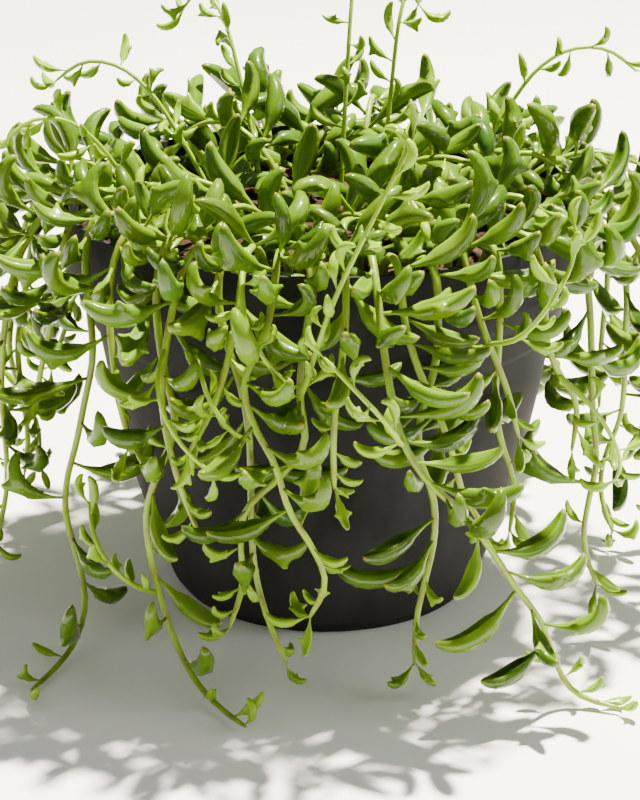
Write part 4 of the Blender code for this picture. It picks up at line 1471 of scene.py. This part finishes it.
def stem_tube(stem, draw):
    """The stem as a mesh tube through the roots of its leaves."""
    curve = bpy.data.curves.new("stem", "CURVE")
    curve.dimensions = "3D"
    curve.bevel_depth = 1.0
    curve.bevel_resolution = TUBE_ROUNDNESS
    curve.resolution_u = CURVE_STEPS
    curve.use_fill_caps = True
    joints = stem.points
    middles = [a.lerp(b, 0.5) for a, b in zip(joints, joints[1:])]
    spots = [joints[0], *middles, joints[-1]]
    line = curve.splines.new("BEZIER")
    line.bezier_points.add(len(spots) - 1)
    for number, (point, spot) in enumerate(zip(line.bezier_points, spots)):
        before = joints[max(0, number - 1)]
        after = joints[min(number, len(joints) - 1)]
        point.co = spot
        point.handle_left = spot.lerp(before, HANDLE_REACH)
        point.handle_right = spot.lerp(after, HANDLE_REACH)
        share = number / (len(spots) - 1)
        radius = stem.radii[0] + (stem.radii[1] - stem.radii[0]) * share
        at_end = number == len(spots) - 1
        point.radius = radius * (END_TAPER if at_end else NODE_SWELL if number else 1.0)
    holder = new_object("stem", curve)
    graph = bpy.context.evaluated_depsgraph_get()
    mesh = bpy.data.meshes.new_from_object(holder.evaluated_get(graph))
    bpy.data.objects.remove(holder)
    tube = new_object("stem", mesh)
    edit(tube)
    close_mesh(TUBE_MERGE)
    bpy.ops.object.shade_smooth()
    colour_tube(tube, stem, draw)
    return tube


def colour_tube(tube, stem, draw):
    """Numbers for the stem's colour: tender towards its tip, and brown scars at its leaves."""
    spots = read_places(tube.data)
    joints = np.array(stem.points)
    nearest = np.linalg.norm(spots[:, None] - joints[None], axis=2).argmin(axis=1)
    young = "shoot" in stem.name
    low, high = STEM_TENDER[young]
    values = {
        "tint": np.full(len(spots), draw.random()),
        "stalk": np.ones(len(spots)),
        "tender": low + (high - low) * nearest / (len(joints) - 1),
        "scar": np.zeros(len(spots)),
    }
    if stem.leaves and not young:
        roots = np.array([leaf.root for leaf in stem.leaves])
        reach = np.linalg.norm(spots[:, None] - roots[None], axis=2).min(axis=1)
        values["scar"] = np.clip(SCAR_CORE - reach / SCAR_FADE, 0.0, 1.0)
    write_numbers(tube.data, values)


print("stems swell", round((NODE_SWELL - 1) * 100), "percent at a node")


# %% [markdown]
# Fleshy leaves are juicy: light goes in, scatters in the green flesh and comes out again, so they glow
# where they are thin, and their waxy skin shines in sharp patches. Old leaves are a deep mid green, one
# in ten a bluish one; stalks are paler, the youngest growth is yellow-green, the tips are straw
# coloured, and here and there the skin has healed in a corky spot.
# %% Leaf flesh with a waxy skin
def leaf_flesh():
    """Juicy green tissue under a clear coat of wax."""
    made, tree, shader = new_material(
        "waxy_succulent_leaf",
        IOR=1.42,
        Specular_IOR_Level=0.12,
        Subsurface_Weight=0.08,
        Subsurface_Radius=(0.45, 1.0, 0.12),
        Subsurface_Scale=1.2 * MM,
        Coat_Weight=0.40,
        Coat_Roughness=0.06,
    )
    tint = attribute(tree, "tint")
    patches = noise_value(tree, 9 * MM, 3.0)
    specks = noise_value(tree, 0.7 * MM, 2.0)
    green = paint_layers(
        tree,
        "#132b01",
        ("#3b5d04", tint, 0, 1, 1.0),
        ("#4e7605", patches, 0.4, 0.7, 0.45),
        ("#0f3a14", tint, 0.84, 0.94, 0.75),
        ("#779d06", attribute(tree, "tender"), 0, 1, 1.0),
        ("#6f9208", attribute(tree, "stalk"), 0, 1, 0.65),
        ("#82a612", attribute(tree, "edge"), 0.5, 1, 0.35),
        ("#8eb024", specks, 0.55, 0.75, 0.12),
        ("#a08c3c", attribute(tree, "tip"), 0.4, 1, 0.5),
        ("#6b5224", noise_value(tree, 2.4 * MM, 5.0), 0.68, 0.74, 0.55),
    )
    link_finish(tree, shader, green, remap(tree, patches, 0.3, 0.7, 0.24, 0.40), specks, 0.05 * MM, 0.6)
    return made


def stem_skin():
    """The same tissue without a coat of wax: paler, matter, with brown scars where leaves root."""
    made, tree, shader = new_material(
        "green_stem_skin",
        IOR=1.42,
        Subsurface_Weight=0.15,
        Subsurface_Radius=(0.45, 1.0, 0.15),
        Subsurface_Scale=1.0 * MM,
    )
    streaks = noise_value(tree, 1.6 * MM, 3.0)
    green = paint_layers(
        tree,
        "#4a6a04",
        ("#6d8b0b", attribute(tree, "tint"), 0, 1, 1.0),
        ("#83a80a", attribute(tree, "tender"), 0, 1, 1.0),
        ("#8cb024", streaks, 0.45, 0.75, 0.25),
        ("#6f5a2c", attribute(tree, "scar"), 0, 1, 0.55),
    )
    link_finish(tree, shader, green, remap(tree, streaks, 0.3, 0.7, 0.28, 0.42), streaks, 0.08 * MM, 0.6)
    return made


LEAF_FLESH = leaf_flesh()
STEM_SKIN = stem_skin()
print("foliage materials:", LEAF_FLESH.name, STEM_SKIN.name)

# %% [markdown]
# ## Put the plant together
# Each leafy solid is replaced by one piece: its stem, its side shoots and all their leaves, joined.
# %% Join stems and leaves


def make_leafy_piece(stem, branches, draw):
    """One finished piece for one leafy solid."""
    parts = []
    for one in [stem, *branches]:
        tube = stem_tube(one, draw)
        tube.data.materials.append(STEM_SKIN)
        parts.append(tube)
        for leaf in one.leaves:
            made = bend_copy(pattern_for(leaf), leaf, draw)
            made.data.materials.append(LEAF_FLESH)
            parts.append(made)
    return join_pieces(parts[0], parts[1:], f"leafy_{stem.name}")


faces = 0
for number, stem in enumerate(stems):
    if stem.parent:
        continue
    branches = [other for other in stems if other.parent and other.owner == stem.owner]
    piece = make_leafy_piece(stem, branches, random.Random(LOOK_SEED + number))
    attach(piece, "root")
    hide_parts(stem.name)
    faces += len(piece.data.polygons)
for pattern in PATTERNS.values():
    bpy.data.objects.remove(pattern)
print("foliage has", faces, "faces")

# %% [markdown]
# ## Finish
# %% Finish
print("finished")
